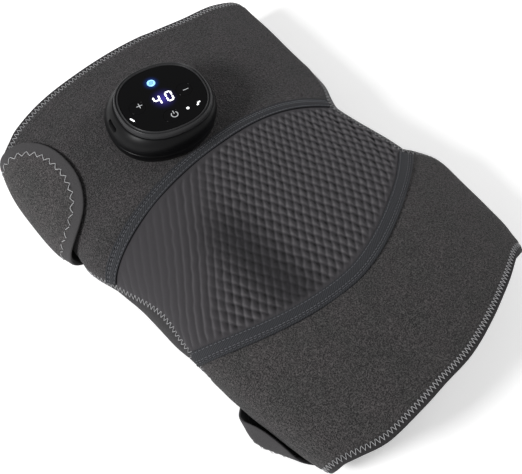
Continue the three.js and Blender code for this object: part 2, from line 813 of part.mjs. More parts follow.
const BASE_SHAPE_SHARES = [[1, 0], [0.4, 0.36], [0.08, 0.7], [0, 1]];
const SIDE_SHARES = [0, 0.3, 0.6, 0.82, 1];
const SIDE_INSIDE_SHARES = [0.82, 0.45];
const RIM_SHAPE_SHARES = [[0.25, 0], [0.42, 0.8], [0.62, 0.3], [0.85, 1.4]];
const GLASS_TOP = UNIT_HEIGHT - GLASS_SINK;
const GLASS_UNDER = GLASS_TOP - GLASS_THICKNESS;
const LEDGE_TOP = GLASS_UNDER - GAP;
const RIM_UNDER = LEDGE_TOP - RIM_LEDGE;
const SHELF_TOP = RIM_UNDER - GAP;
const SHELF_UNDER = SHELF_TOP - SHELF_THICKNESS;
const RIM_OUTER = grown(BODY_HALF, -SHOULDER_WIDTH - GAP);
const GLASS_HALF = grown(RIM_OUTER, -RIM_WIDTH);
const POST_INSET = BODY_WALL + 2 * GAP + LIP_THICKNESS + POST_RADIUS;
const BOARD_TOP = BOARD_HEIGHT + BOARD_THICKNESS;

function body(extra) {
  return grown(BODY_HALF, extra);
}

function lowerHousing() {
  const wallInner = body(-BODY_WALL);
  const dish = ovalRing([
    [{ across: NECK_BORE, along: NECK_BORE }, -FABRIC],
    [body(-BASE_INSET - BODY_WALL), -FABRIC],
    ...BASE_SHAPE_SHARES.map(([inset, rise]) => [body(-BASE_INSET * inset), PARTING_HEIGHT * rise]),
    [wallInner, PARTING_HEIGHT],
    [wallInner, PARTING_HEIGHT - LIP_DEPTH - GAP],
    [body(-BASE_INSET), FLOOR_TOP],
    [{ across: NECK_BORE, along: NECK_BORE }, FLOOR_TOP],
  ], BODY_POWER);
  const toUnit = new THREE.Matrix4().copy(unitFrame).invert();
  const bearing = upperPanelSheet(-FABRIC, FABRIC + GAP).applyMatrix4(toUnit).translate(0, 0, -FABRIC);
  const neckLow = CLAMP_HIGH + GAP - FABRIC;
  const neck = rod(NECK_RADIUS, neckLow, FLOOR_TOP - GAP);
  const posts = postPlaces().map(([x, y]) => {
    return rod(POST_RADIUS, FLOOR_TOP - GAP, BOARD_HEIGHT - GAP, SMALL_SIDES).translate(x, y, 0);
  });
  const postBores = postPlaces().map(([x, y]) => {
    return rod(SCREW_RADIUS + GAP, FLOOR_TOP, BOARD_HEIGHT, SMALL_SIDES).translate(x, y, 0);
  });
  const wireBore = rod(NECK_BORE, neckLow - OVERRUN, FLOOR_TOP + OVERRUN, SMALL_SIDES);
  const clampBores = clampScrewPlaces().map(([x, y]) => {
    const bore = rod(SCREW_RADIUS + GAP, neckLow - OVERRUN, neckLow + SCREW_LENGTH, SMALL_SIDES);
    return bore.translate(x, y, 0);
  });
  const seated = cut(dish, bearing);
  return cut(join(seated, neck, ...posts), wireBore, ...postBores, ...clampBores);
}

function circlePlaces(radius, count, start) {
  return Array.from({ length: count }, (_, i) => {
    const turn = start + 2 * Math.PI * i / count;
    return [radius * Math.cos(turn), radius * Math.sin(turn)];
  });
}

function postPlaces() {
  return [0, 1, 2].map((i) => {
    const place = ovalPoint(body(-POST_INSET), BODY_POWER, RIGHT_ANGLE + 2 * Math.PI * i / 3);
    return [place.x, place.y];
  });
}

function clampScrewPlaces() {
  return circlePlaces(CLAMP_SCREW_CIRCLE, 3, -RIGHT_ANGLE);
}

const socketMiddle = BOARD_TOP + GAP + SOCKET_SIZE.high / 2;

function upperHousing() {
  const low = PARTING_HEIGHT + GAP;
  const side = SHELF_UNDER - low;
  const inset = (share) => SHOULDER_WIDTH * share ** 2;
  const wall = (share) => [body(-inset(share)), low + side * share];
  const inside = (share) => [body(-inset(share) - BODY_WALL), low + side * share];
  const lipOuter = body(-BODY_WALL - GAP);
  const lipInner = body(-BODY_WALL - GAP - LIP_THICKNESS);
  const shell = ovalRing([
    [lipInner, low - LIP_DEPTH],
    [lipOuter, low - LIP_DEPTH],
    [lipOuter, low],
    ...SIDE_SHARES.map(wall),
    [body(GAP - SHOULDER_WIDTH), SHELF_TOP],
    [body(-SHOULDER_WIDTH), SHELF_TOP + GAP],
    [grown(RIM_OUTER, GAP / 2), SHELF_TOP],
    [grown(RIM_OUTER, -SHELF_WIDTH), SHELF_TOP],
    [grown(RIM_OUTER, -SHELF_WIDTH), SHELF_UNDER],
    ...SIDE_INSIDE_SHARES.map(inside),
    [lipInner, low + LIP_THICKNESS],
  ], BODY_POWER);
  const mouthWide = SOCKET_SIZE.wide + 2 * GAP;
  const mouthHigh = SOCKET_SIZE.high + 2 * GAP;
  const mouth = roundedBlock(mouthWide, mouthHigh, SOCKET_SIZE.high / 2, 0, BODY_HALF.across);
  mouth.rotateZ(RIGHT_ANGLE).rotateY(-RIGHT_ANGLE).translate(0, 0, socketMiddle);
  return cut(shell, mouth);
}

function rimRing() {
  const at = (extra, height) => [grown(GLASS_HALF, extra), height];
  return ovalRing([
    at(GAP, LEDGE_TOP),
    at(GAP, UNIT_HEIGHT - RIM_RIDGE / 2),
    ...RIM_SHAPE_SHARES.map(([out, down]) => at(RIM_WIDTH * out, UNIT_HEIGHT - RIM_RIDGE * down)),
    at(RIM_WIDTH, RIM_UNDER + RIM_RIDGE),
    at(RIM_WIDTH, RIM_UNDER),
    at(-RIM_LEDGE, RIM_UNDER),
    at(-RIM_LEDGE, LEDGE_TOP),
  ], GLASS_POWER);
}

function keyPlace(key) {
  const share = KEY_SHARES[key];
  return { across: GLASS_HALF.across * share.across, along: GLASS_HALF.along * share.along };
}

function displayGlass() {
  const holes = Object.keys(KEY_SHARES).map((key) => ({ ...keyPlace(key), radius: KEY_RADIUS + GAP }));
  return ovalPlate(GLASS_HALF, GLASS_POWER, GLASS_UNDER, GLASS_TOP, holes);
}

const SWITCH_LOW = BOARD_TOP + GAP;
const KEY_STEM_LOW = GLASS_UNDER - GAP - KEY_FLANGE - 2 * KEY_TRAVEL;
const SWITCH_HIGH = KEY_STEM_LOW - KEY_TRAVEL - GAP;

function keyCap() {
  const flangeTop = GLASS_UNDER - GAP;
  const flangeLow = flangeTop - KEY_FLANGE;
  return turned([
    [0, KEY_STEM_LOW],
    [KEY_STEM_RADIUS, KEY_STEM_LOW],
    [KEY_STEM_RADIUS, flangeLow],
    [KEY_RADIUS + KEY_FLANGE, flangeLow],
    [KEY_RADIUS + KEY_FLANGE, flangeTop],
    [KEY_RADIUS, flangeTop],
    [KEY_RADIUS, GLASS_TOP],
    [0, GLASS_TOP],
  ], KEY_SIDES);
}

function tactSwitch() {
  return block(SWITCH_SIZE, SWITCH_SIZE, SWITCH_LOW, SWITCH_HIGH);
}

function chargingSocket() {
  const front = BODY_HALF.across - SHOULDER_WIDTH / 2 - BODY_WALL / 2 - SOCKET_INSET;
  const { wide, deep, high } = SOCKET_SIZE;
  const shell = roundedBlock(wide, high, (high - SOCKET_WALL) / 2, front - deep, front);
  const roomWide = wide - 2 * SOCKET_WALL;
  const roomHigh = high - 2 * SOCKET_WALL;
  const roomRound = (roomHigh - SOCKET_WALL) / 2;
  const room = roundedBlock(roomWide, roomHigh, roomRound, front - deep + 2 * SOCKET_WALL, front + OVERRUN);
  const tongue = block(TONGUE_SIZE.wide, TONGUE_SIZE.high, front - deep + SOCKET_WALL, front - SOCKET_WALL);
  const socket = join(cut(shell, room), tongue);
  return socket.rotateZ(RIGHT_ANGLE).rotateY(-RIGHT_ANGLE).translate(0, 0, socketMiddle);
}

function mainBoard() {
  const holes = postPlaces().map(([across, along]) => ({ across, along, radius: SCREW_RADIUS + GAP }));
  return ovalPlate(body(-BOARD_INSET), BODY_POWER, BOARD_HEIGHT, BOARD_TOP, holes);
}

function batteryCell() {
  const across = 2 * (BODY_HALF.across - BATTERY_INSET.across);
  const along = 2 * (BODY_HALF.along - BATTERY_INSET.along);
  return roundedBlock(across, along, BATTERY_ROUND, FLOOR_TOP + GAP, FLOOR_TOP + GAP + BATTERY_HIGH);
}

function displayModule() {
  const reach = KEY_RADIUS + KEY_FLANGE + DISPLAY_CLEARANCE;
  const low = keyPlace('power').along + reach;
  const high = GLASS_HALF.along - DISPLAY_MARGIN;
  const across = 2 * (keyPlace('minus').across - reach);
  const module = block(across, high - low, LEDGE_TOP - DISPLAY_HIGH, LEDGE_TOP);
  return module.translate(0, (low + high) / 2, 0);
}

function screw(headLow, direction) {
  const shank = headLow + direction * SCREW_HEAD_HEIGHT;
  const tip = shank + direction * SCREW_LENGTH;
  return turned([
    [0, headLow],
    [SCREW_HEAD_RADIUS, headLow],
    [SCREW_HEAD_RADIUS, shank],
    [SCREW_RADIUS, shank],
    [SCREW_RADIUS, tip],
    [0, tip],
  ], SMALL_SIDES);
}

function clampPlate() {
  const low = CLAMP_SINK - FABRIC;
  const high = low + CLAMP_THICKNESS;
  const plate = rod(CLAMP_RADIUS, low, high, POD_SIDES);
  const bores = clampScrewPlaces().flatMap(([x, y]) => [
    rod(SCREW_RADIUS + GAP, low - OVERRUN, high + OVERRUN, SMALL_SIDES).translate(x, y, 0),
    rod(SCREW_HEAD_RADIUS + GAP, low - OVERRUN, low + SCREW_HEAD_HEIGHT, SMALL_SIDES).translate(x, y, 0),
  ]);
  const wire = rod(NECK_BORE, low - OVERRUN, high + OVERRUN, SMALL_SIDES);
  return cut(plate, wire, ...bores);
}

function controlUnit() {
  const unit = new THREE.Group();
  unit.add(
    part('clamp_plate', clampPlate(), shellBlack()),
    part('lower_housing', lowerHousing(), shellBlack()),
    part('upper_housing', upperHousing(), shellBlack()),
    part('rim_ring', rimRing(), rimGrey()),
    part('display_glass', displayGlass(), gloss()),
    part('display_module', displayModule(), finish(0x0e1430, 0.4)),
    part('main_board', mainBoard(), finish(0x14502c, 0.5)),
    part('battery_cell', batteryCell(), finish(0x2a4f8f, 0.4)),
    part('charging_socket', chargingSocket(), steel()),
  );
  for (const key of Object.keys(KEY_SHARES)) {
    const place = keyPlace(key);
    const cap = part(`${key}_key`, keyCap(), gloss());
    const tact = part(`${key}_switch`, tactSwitch(), finish(0x1a1a1a, 0.5));
    for (const mesh of [cap, tact]) mesh.position.set(place.across, place.along, 0);
    unit.add(cap, tact);
  }
  postPlaces().forEach(([x, y], i) => {
    const head = BOARD_TOP + GAP + SCREW_HEAD_HEIGHT;
    const mesh = part(`board_screw_${i + 1}`, screw(head, -1), steel());
    mesh.position.set(x, y, 0);
    unit.add(mesh);
  });
  clampScrewPlaces().forEach(([x, y], i) => {
    const mesh = part(`clamp_screw_${i + 1}`, screw(CLAMP_SINK - FABRIC - GAP / 2, 1), steel());
    mesh.position.set(x, y, 0);
    unit.add(mesh);
  });
  unit.position.set(0, 0, FABRIC);
  unit.updateMatrix();
  unit.applyMatrix4(unitFrame);
  return unit;
}

// Whole wrap

const massager = new THREE.Group();
massager.add(
  upperFrontPanel(),
  kneePanel(),
  lowerFrontPanel(),
  wing('upper_left_wing', -LEFT_WING_SHARE, -WING_END_SHARE, upperPanelLow, constant(THIGH_EDGE)),
  wing('upper_right_wing', WING_END_SHARE, RIGHT_WING_SHARE, upperPanelLow, constant(THIGH_EDGE)),
  wing('lower_left_wing', -LEFT_WING_SHARE, -WING_END_SHARE, calfEdge, lowerPanelHigh),
  wing('lower_right_wing', WING_END_SHARE, RIGHT_WING_SHARE, calfEdge, lowerPanelHigh),
  seamTape('upper_seam_tape', upperSeam),
  seamTape('lower_seam_tape', lowerSeam),
  strap('upper_strap', UPPER_FOLD_SHARE, UPPER_STRAP_LOW, UPPER_STRAP_HIGH, upperSlack),
  strap('lower_strap', LOWER_FOLD_SHARE, LOWER_STRAP_LOW, LOWER_STRAP_HIGH, undefined, LOWER_STRAP_TAPER),
  ...tab('upper', UPPER_FOLD_SHARE, UPPER_TIP_SHARE, UPPER_STRAP_LOW, UPPER_STRAP_HIGH, upperSlack),
  ...tab('lower', LOWER_FOLD_SHARE, LOWER_TIP_SHARE, LOWER_STRAP_LOW, LOWER_STRAP_HIGH),
  innerLining(),
  heatingFilm(),
  filmLead(),
  sunkPart('overheat_cutoff', CUTOFF_SIZE, CUTOFF_PLACE, finish(0x8c8c90, 0.4, 0.6)),
  sunkPart('temperature_sensor', SENSOR_SIZE, SENSOR_PLACE, finish(0x3a2a1a, 0.5)),
  massagePod('left'),
  massagePod('right'),
  controlUnit(),
);

// The origin is the middle of the footprint
const box = new THREE.Box3().setFromObject(massager, true);
const centre = box.getCenter(new THREE.Vector3());
massager.position.set(-centre.x, -centre.y, -box.min.z);

export default massager;
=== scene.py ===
"""Looks of a heated knee massager: a closed charcoal wrap with its control unit on the thigh.

Lengths are in millimetres until a mesh is made, and meshes are in metres. X runs across the leg, Y
towards the thigh and Z up. A place on the wrap is a share round the leg and a length along it: share 0 is
the crown, 1 and -1 are the two sides, 2 is the back.
"""

import logging
import math
from collections.abc import Callable, Sequence
from dataclasses import dataclass, field
from enum import Enum
from typing import ClassVar

import bmesh
import bpy
import numpy as np
from mathutils import Matrix, Vector

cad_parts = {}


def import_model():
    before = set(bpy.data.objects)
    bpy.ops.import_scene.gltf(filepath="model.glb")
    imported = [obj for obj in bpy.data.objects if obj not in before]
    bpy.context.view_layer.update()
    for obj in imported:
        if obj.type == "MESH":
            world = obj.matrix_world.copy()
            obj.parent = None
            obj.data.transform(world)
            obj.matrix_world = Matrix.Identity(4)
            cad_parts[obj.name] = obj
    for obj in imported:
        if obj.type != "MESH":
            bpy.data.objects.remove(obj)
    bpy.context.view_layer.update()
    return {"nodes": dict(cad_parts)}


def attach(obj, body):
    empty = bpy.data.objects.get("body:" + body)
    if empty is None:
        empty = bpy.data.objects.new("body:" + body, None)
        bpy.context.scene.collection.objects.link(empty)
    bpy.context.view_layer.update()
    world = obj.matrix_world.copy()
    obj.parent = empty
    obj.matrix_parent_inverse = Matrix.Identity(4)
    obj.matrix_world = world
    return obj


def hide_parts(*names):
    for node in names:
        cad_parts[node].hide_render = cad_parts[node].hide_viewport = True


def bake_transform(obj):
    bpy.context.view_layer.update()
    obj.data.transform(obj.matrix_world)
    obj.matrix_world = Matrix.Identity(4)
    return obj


LOG = logging.getLogger("massager")
MM = 0.001
MERGE_MM = 0.001
Colour = tuple[float, float, float]
Place = tuple[float, float, float]
Pair = tuple[float, float]
Points = Sequence[Pair]
Array = np.ndarray
Marks = dict[str, Array]
Piece = bpy.types.Object
Socket = bpy.types.NodeSocket
Edge = Callable[[Array], Array]
Lift = Callable[[Array, Array], Array]
Form = Callable[[Array, Array, Array], Marks]


def linear(red: int, green: int, blue: int) -> Colour:
    """Turn a colour as seen, from 0 to 255, into the one that a shader takes."""
    return tuple(
        (c / 255 / 12.92) if c < 11 else ((c / 255 + 0.055) / 1.055) ** 2.4 for c in (red, green, blue)
    )


def smooth(value: Array, low: float, high: float) -> Array:
    """Rise softly from 0 at low to 1 at high."""
    t = np.clip((value - low) / (high - low), 0.0, 1.0)
    return t * t * (3 - 2 * t)


def scaled(colour: Colour, factor: float) -> Colour:
    """Make a colour darker or lighter.

    Args:
        colour: The colour.
        factor: What each part of it is multiplied by.

    Returns:
        The new colour, no part of it over 1.
    """
    return tuple(min(c * factor, 1.0) for c in colour)


def level(height: float) -> Edge:
    """Give one height, or one length, for every share."""
    return lambda share: np.full(share.shape, height)


def plain(share: Array, y: Array, away: Array) -> Marks:
    """Give a sheet no form of its own."""
    return {"height": np.zeros(share.shape)}


def add(name: str, data: bpy.types.ID) -> Piece:
    """Add an object with its data to the scene."""
    made = bpy.data.objects.new(name, data)
    bpy.context.scene.collection.objects.link(made)
    return made


def eased(points: Points, steps: int) -> list[Pair]:
    """Run a smooth line through points.

    Args:
        points: Places that the line passes.
        steps: Steps between one place and the next.

    Returns:
        The places and those between.
    """
    p = np.array([points[0], *points, points[-1]], float)
    line = []
    for i in range(1, len(p) - 2):
        for t in np.arange(steps) / steps:
            a, b, c, d = p[i - 1 : i + 3]
            square, cube = 2 * a - 5 * b + 4 * c - d, 3 * b - a - 3 * c + d
            line.append(tuple(0.5 * (2 * b + (c - a) * t + square * t**2 + cube * t**3)))
    return [*line, tuple(p[-2])]


# Leg tube and the outline of the wrap


@dataclass
class LegTube:
    """Flattened tube round the leg that every cloth piece is cut from."""

    half_width: float = 94.0
    thigh_flare: float = 1.6
    calf_taper: float = 15.0
    taper_start: float = 40.0
    taper_length: float = 180.0
    rise: float = 31.5
    calf_drop: float = 5.0
    calf_drop_length: float = 140.0
    thigh_drop: float = 4.0
    thigh_drop_start: float = 50.0
    fold_width: float = 14.0
    fold_rise: float = 10.0
    power: float = 2.3
    waist: Pair = (2.0, 12.0)
    waist_place: float = 28.0
    waist_length: float = 42.0
    thigh_edge: float = 141.5
    rest_offset: float = 6.3
    left_trim: Points = (
        (-142, -0.4), (-75, -0.1), (-50, -1.2), (-24, 0.5), (-7, 0.4), (8, 0.7), (25, 2.8), (45, 5.6),
        (65, 2), (100, -1.8), (146, -4),
    )
    right_trim: Points = (
        (-142, -5), (-125, -4.8), (-105, -3.8), (-90, -1.8), (-60, -1.3), (-40, 0.8), (-24, 0.2),
        (25, 1.6), (42, 3), (60, -0.6), (85, -3), (110, -1.8), (146, 0.4),
    )
    shift: Pair = (3.834, -0.344)
    quarter: float = field(init=False)

    def __post_init__(self) -> None:
        """Measure the arch and the fold, so that shares are even along them."""
        power = 2 / self.power
        angles = np.linspace(0, math.pi / 2, 241)
        across = self.half_width * np.sin(angles) ** power
        self._arch = self._measured(angles, across, self.rise * np.maximum(np.cos(angles), 0) ** power)
        across = self.fold_width * np.cos(angles)
        self._fold = self._measured(angles, across, -self.fold_rise * np.sin(angles))
        self.quarter = float(self._arch[0][-1])
        fold = float(self._fold[0][-1])
        self.fold_share = fold / (fold + self.half_width - self.fold_width)
        self._trims = [np.array(eased(trim, 8)).T for trim in (self.left_trim, self.right_trim)]

    @staticmethod
    def _measured(angles: Array, x: Array, z: Array) -> tuple[Array, Array]:
        """Return the lengths along a quarter curve and the angles where they are reached."""
        steps = np.hypot(np.diff(x), np.diff(z))
        return np.concatenate([[0.0], np.cumsum(steps)]), angles

    def section(self, share: Array, y: Array) -> tuple[Array, ...]:
        """Find places on the tube's sections.

        Args:
            share: Shares round the leg.
            y: Lengths along the leg.

        Returns:
            Across and height of each place, and the outward direction's two parts.
        """
        share, y = np.broadcast_arrays(np.asarray(share, float), np.asarray(y, float))
        turn = share - 4 * np.round(share / 4)
        side = np.where(turn < 0, -1.0, 1.0)
        part = np.abs(turn)
        calf = np.maximum(self.taper_start - y, 0) / self.taper_length
        thigh = np.maximum(y - self.taper_start, 0) / (self.thigh_edge - self.taper_start)
        waist = np.where(side < 0, *self.waist) * np.exp(-(((y - self.waist_place) / self.waist_length) ** 2))
        trim = np.where(side < 0, *(np.interp(y, *table) for table in self._trims))
        half = self.half_width + self.thigh_flare * thigh - self.calf_taper * calf**3 - waist + trim
        low = np.maximum(-y, 0) / self.calf_drop_length
        high = np.maximum(y - self.thigh_drop_start, 0) / (self.thigh_edge - self.thigh_drop_start)
        rise = self.rise - self.calf_drop * low**2 - self.thigh_drop * high**2

        angle = np.interp(np.minimum(part, 1) * self.quarter, *self._arch)
        x = half * np.sin(angle) ** (2 / self.power)
        z = rise * np.maximum(np.cos(angle), 0) ** (2 / self.power)
        out_x = (x / half) ** (self.power - 1) / half
        out_z = (z / rise) ** (self.power - 1) / rise

        bend = np.interp(np.clip((part - 1) / self.fold_share, 0, 1) * self._fold[0][-1], *self._fold)
        folded = (part > 1) & (part - 1 <= self.fold_share)
        flat = part - 1 > self.fold_share
        rest = (part - 1 - self.fold_share) / (1 - self.fold_share)
        x = np.where(folded, half - self.fold_width + self.fold_width * np.cos(bend), x)
        z = np.where(folded, -self.fold_rise * np.sin(bend), z)
        out_x = np.where(folded, np.cos(bend) / self.fold_width, out_x)
        out_z = np.where(folded, -np.sin(bend) / self.fold_rise, out_z)
        x = np.where(flat, (half - self.fold_width) * (1 - rest), x)
        z = np.where(flat, -self.fold_rise, z)
        out_x = np.where(flat, 0.0, out_x)
        out_z = np.where(flat, -1.0, out_z)
        size = np.hypot(out_x, out_z)
        return side * x, self.rest_offset + self.fold_rise + z, side * out_x / size, out_z / size

    def point(self, share: Array, y: Array, offset: Array, lift: Array = 0.0) -> Array:
        """Find points off the tube.

        Args:
            share: Shares round the leg.
            y: Lengths along the leg.
            offset: Distance outwards from the inner face of the outer cloth.
            lift: Distance that a slack piece stands away sideways.

        Returns:
            One row of X, Y and Z for each point, in the last axis.
        """
        x, z, out_x, out_z = self.section(share, y)
        across = x + offset * out_x + np.sign(x) * lift + self.shift[0]
        along = np.broadcast_to(np.asarray(y, float), across.shape) + self.shift[1]
        return np.stack([across, along, np.broadcast_to(z + offset * out_z, across.shape)], axis=-1)

    def outward(self, share: Array, y: Array, offset: Array) -> Array:
        """Return the unit direction away from the tube at each place."""
        round_step = self.point(share + 0.004, y, offset) - self.point(share - 0.004, y, offset)
        along_step = self.point(share, y + 0.5, offset) - self.point(share, y - 0.5, offset)
        out = np.cross(round_step, along_step)
        return out / np.linalg.norm(out, axis=-1, keepdims=True)

    def height(self, x: float, y: float, offset: float) -> float:
        """Return the height of the offset front above a place on the plan."""
        shares = np.linspace(-0.98, 0.98, 400)
        front = self.point(shares, np.full(400, y - self.shift[1]), offset)
        return float(np.interp(x, front[:, 0], front[:, 2]))


@dataclass
class Outline:
    """Edges and seams of the wrap, as lengths along the leg for shares round it."""

    tube: LegTube
    turn: float = -0.123
    knee_edge: float = 0.877
    cutout: float = 0.2
    upper_seam_middle: float = 46.2
    upper_sag: Pair = (19.5, 22.6)
    upper_power: Pair = (2.0, 2.5)
    lower_seam_middle: float = -65.0
    lower_sag: Pair = (35.0, 41.5)
    lower_power: Pair = (2.0, 1.7)
    upper_cutout: float = 62.0
    lower_cutout: Pair = (-50.0, -40.0)
    cut_power: Pair = (4.8, 1.15)
    calf_middle: float = -139.5
    calf_bow: float = 19.0
    calf_skew: float = 10.0
    thigh_wave: Points = (
        (-1.7, -2), (-0.95, -1.5), (-0.75, 2), (-0.55, 4.4), (-0.35, 4.8), (-0.05, 4), (0.15, 1.7),
        (0.25, -0.6), (0.45, -3.7), (0.65, -3.6), (0.85, -4.5), (1.5, -3),
    )
    calf_wave: Points = (
        (-1.7, 6), (-1.12, 6), (-0.95, 4.2), (-0.8, -0.4), (-0.7, -2.9), (-0.6, -2.7), (-0.4, 0.7),
        (-0.2, 3.5), (0, 3), (0.2, 1.7), (0.4, -0.3), (0.6, -1.6), (0.8, 0), (0.92, -0.6), (1, 0.4),
        (1.2, 3.5), (1.5, 4),
    )
    gap: float = 0.15

    def __post_init__(self) -> None:
        """Run smooth lines through the waves of the two open edges."""
        self._thigh_wave, self._calf_wave = (
            np.array(eased(wave, 8)).T for wave in (self.thigh_wave, self.calf_wave)
        )

    def turned(self, share: Array) -> Array:
        """Return shares counted from the middle of the wrap."""
        return np.asarray(share, float) - self.turn

    def upper_seam(self, share: Array) -> Array:
        """Seam between the thigh and the knee."""
        away = self.turned(share)
        reach = np.abs(away / self.knee_edge) ** np.where(away < 0, *self.upper_power)
        return self.upper_seam_middle - np.where(away < 0, *self.upper_sag) * reach

    def lower_seam(self, share: Array) -> Array:
        """Seam between the knee and the calf."""
        away = self.turned(share)
        reach = np.abs(away / self.knee_edge) ** np.where(away < 0, *self.lower_power)
        return self.lower_seam_middle + np.where(away < 0, *self.lower_sag) * reach

    def thigh_edge(self, share: Array) -> Array:
        """Open edge round the thigh."""
        return self.tube.thigh_edge + np.interp(share, *self._thigh_wave)

    def calf_edge(self, share: Array) -> Array:
        """Open edge round the calf."""
        across = np.sin(math.pi / 2 * np.clip(share, -1, 1))
        return self.calf_middle + self.calf_bow * across**2 + self.calf_skew * across + np.interp(
            share, *self._calf_wave
        )

    def _cut(self, share: Array, seam_end: Array, wing: float | Array) -> Array:
        """Edge of a side cut-out, slanting from the knee to the wing."""
        away = self.turned(share)
        t = np.clip((np.abs(away) - self.knee_edge) / self.cutout, 0, 1)
        return seam_end + (wing - seam_end) * (1 - (1 - t) ** np.where(away < 0, *self.cut_power))

    def thigh_low(self, share: Array) -> Array:
        """Lower edge of the thigh cloth: its seam, then the side cut-outs."""
        away = self.turned(share)
        seam_end = self.upper_seam_middle - np.where(away < 0, *self.upper_sag)
        cut = self._cut(share, seam_end, self.upper_cutout)
        return np.where(np.abs(away) > self.knee_edge, cut, self.upper_seam(share)) + self.gap

    def calf_high(self, share: Array) -> Array:
        """Upper edge of the calf cloth: its seam, then the side cut-outs."""
        away = self.turned(share)
        sag, wing = np.where(away < 0, *self.lower_sag), np.where(away < 0, *self.lower_cutout)
        cut = self._cut(share, self.lower_seam_middle + sag, wing)
        return np.where(np.abs(away) > self.knee_edge, cut, self.lower_seam(share)) - self.gap

    def knee_low(self, share: Array) -> Array:
        """Lower edge of the knee cloth."""
        return self.lower_seam(share) + self.gap

    def knee_high(self, share: Array) -> Array:
        """Upper edge of the knee cloth."""
        return self.upper_seam(share) - self.gap

    def knee_sides(self) -> Pair:
        """Shares of the knee cloth's two side edges."""
        return self.turn - self.knee_edge, self.turn + self.knee_edge


# Finishes


class Nodes:
    """Adds nodes to a tree and links them."""

    def __init__(self, tree: bpy.types.NodeTree) -> None:
        """Take the tree that the nodes go into."""
        self.tree = tree

    def node(
        self, kind: str, values: dict[str | int, object] | None = None, **settings: object
    ) -> bpy.types.Node:
        """Add a node.

        Args:
            kind: Type of the node.
            values: Numbers for its inputs, or outputs to link to them.
            settings: Choices set on the node itself.

        Returns:
            The new node.
        """
        made = self.tree.nodes.new(kind)
        for key, value in settings.items():
            setattr(made, key, value)
        for key, value in (values or {}).items():
            self.feed(made.inputs[key], value)
        return made

    def feed(self, socket: Socket, value: object) -> None:
        """Link an output to an input, or set the input's own value.

        Args:
            socket: The input.
            value: An output, a number, a colour or a material.
        """
        if isinstance(value, Socket):
            self.tree.links.new(value, socket)
        elif isinstance(value, tuple) and socket.type == "RGBA" and len(value) == 3:
            socket.default_value = (*value, 1.0)
        else:
            socket.default_value = value

    def sum(self, first: object, second: object = 0.0, kind: str = "ADD") -> Socket:
        """Join two numbers by one step of sums."""
        return self.node("ShaderNodeMath", {0: first, 1: second}, operation=kind).outputs[0]

    def times(self, first: object, second: object) -> Socket:
        """Multiply two numbers."""
        return self.sum(first, second, "MULTIPLY")


class Pattern(Nodes):
    """Node tree of one material, written from the shader backwards."""

    def __init__(self, name: str) -> None:
        """Start a material with its main shader."""
        self.material = bpy.data.materials.new(name)
        self.material.use_nodes = True
        super().__init__(self.material.node_tree)
        self.shader = self.tree.nodes["Principled BSDF"]

    def set(self, **values: object) -> None:
        """Set inputs of the main shader, with underscores for the spaces in their names."""
        for key, value in values.items():
            self.feed(self.shader.inputs[key.replace("_", " ")], value)

    def place(self) -> Socket:
        """Give the place on the piece, in metres."""
        return self.node("ShaderNodeTexCoord").outputs["Object"]

    def cloth_place(self) -> Socket:
        """Give the place on the flat cloth, in metres."""
        return self.node("ShaderNodeUVMap", uv_map="cloth").outputs["UV"]

    def measure(self, name: str) -> Socket:
        """Give a number that the mesh keeps at each corner."""
        return self.node("ShaderNodeAttribute", attribute_name=name).outputs["Fac"]

    def noise(self, place: Socket, grain_mm: float, detail: float = 3.0) -> Socket:
        """Give soft random grain of a size, about 0.5 on the whole."""
        values = {"Vector": place, "Scale": 1 / (grain_mm * MM), "Detail": detail, "Roughness": 0.6}
        return self.node("ShaderNodeTexNoise", values).outputs["Fac"]

    def cells(self, place: Socket, grain_mm: float) -> Socket:
        """Give the distance from the middle of small random cells."""
        values = {"Vector": place, "Scale": 1 / (grain_mm * MM)}
        return self.node("ShaderNodeTexVoronoi", values).outputs["Distance"]

    def bands(self, place: Socket, pitch_mm: float, axis: str) -> Socket:
        """Give even waves along an axis."""
        values = {"Vector": place, "Scale": math.pi / 10 / (pitch_mm * MM)}
        wave = self.node("ShaderNodeTexWave", values, bands_direction=axis)
        return wave.outputs["Fac"]

    def ranged(self, value: Socket, low: float, high: float, start: float = 0.0, end: float = 1.0) -> Socket:
        """Stretch a number from one range to another, and hold it at the ends.

        Args:
            value: The number.
            low: Where the first range starts.
            high: Where it ends.
            start: What low turns into.
            end: What high turns into.

        Returns:
            The stretched number.
        """
        values = {"Value": value, "From Min": low, "From Max": high, "To Min": start, "To Max": end}
        return self.node("ShaderNodeMapRange", values).outputs["Result"]

    def blend(self, share: object, first: object, second: object, kind: str = "MIX") -> Socket:
        """Mix two colours by a share."""
        made = self.node("ShaderNodeMix", data_type="RGBA", blend_type=kind)
        for socket, value in zip([s for s in made.inputs if s.enabled], (share, first, second)):
            self.feed(socket, value)
        return next(s for s in made.outputs if s.enabled)

    def relief(self, height: Socket, depth_mm: float, strength: float = 1.0) -> None:
        """Let a height stand out of the surface by a depth."""
        values = {"Height": height, "Distance": depth_mm * MM, "Strength": strength}
        self.feed(self.shader.inputs["Normal"], self.node("ShaderNodeBump", values).outputs["Normal"])


MADE: dict["Finish", bpy.types.Material] = {}


@dataclass(frozen=True)
class Finish:
    """What every finish has: a name and a main colour."""

    name: str
    colour: Colour

    def dressed(self) -> bpy.types.Material:
        """Return the finish's material, made once."""
        if self not in MADE:
            pattern = Pattern(self.name)
            self.paint(pattern)
            MADE[self] = pattern.material
        return MADE[self]

    def paint(self, p: Pattern) -> None:
        """Fill the pattern in."""
        raise NotImplementedError


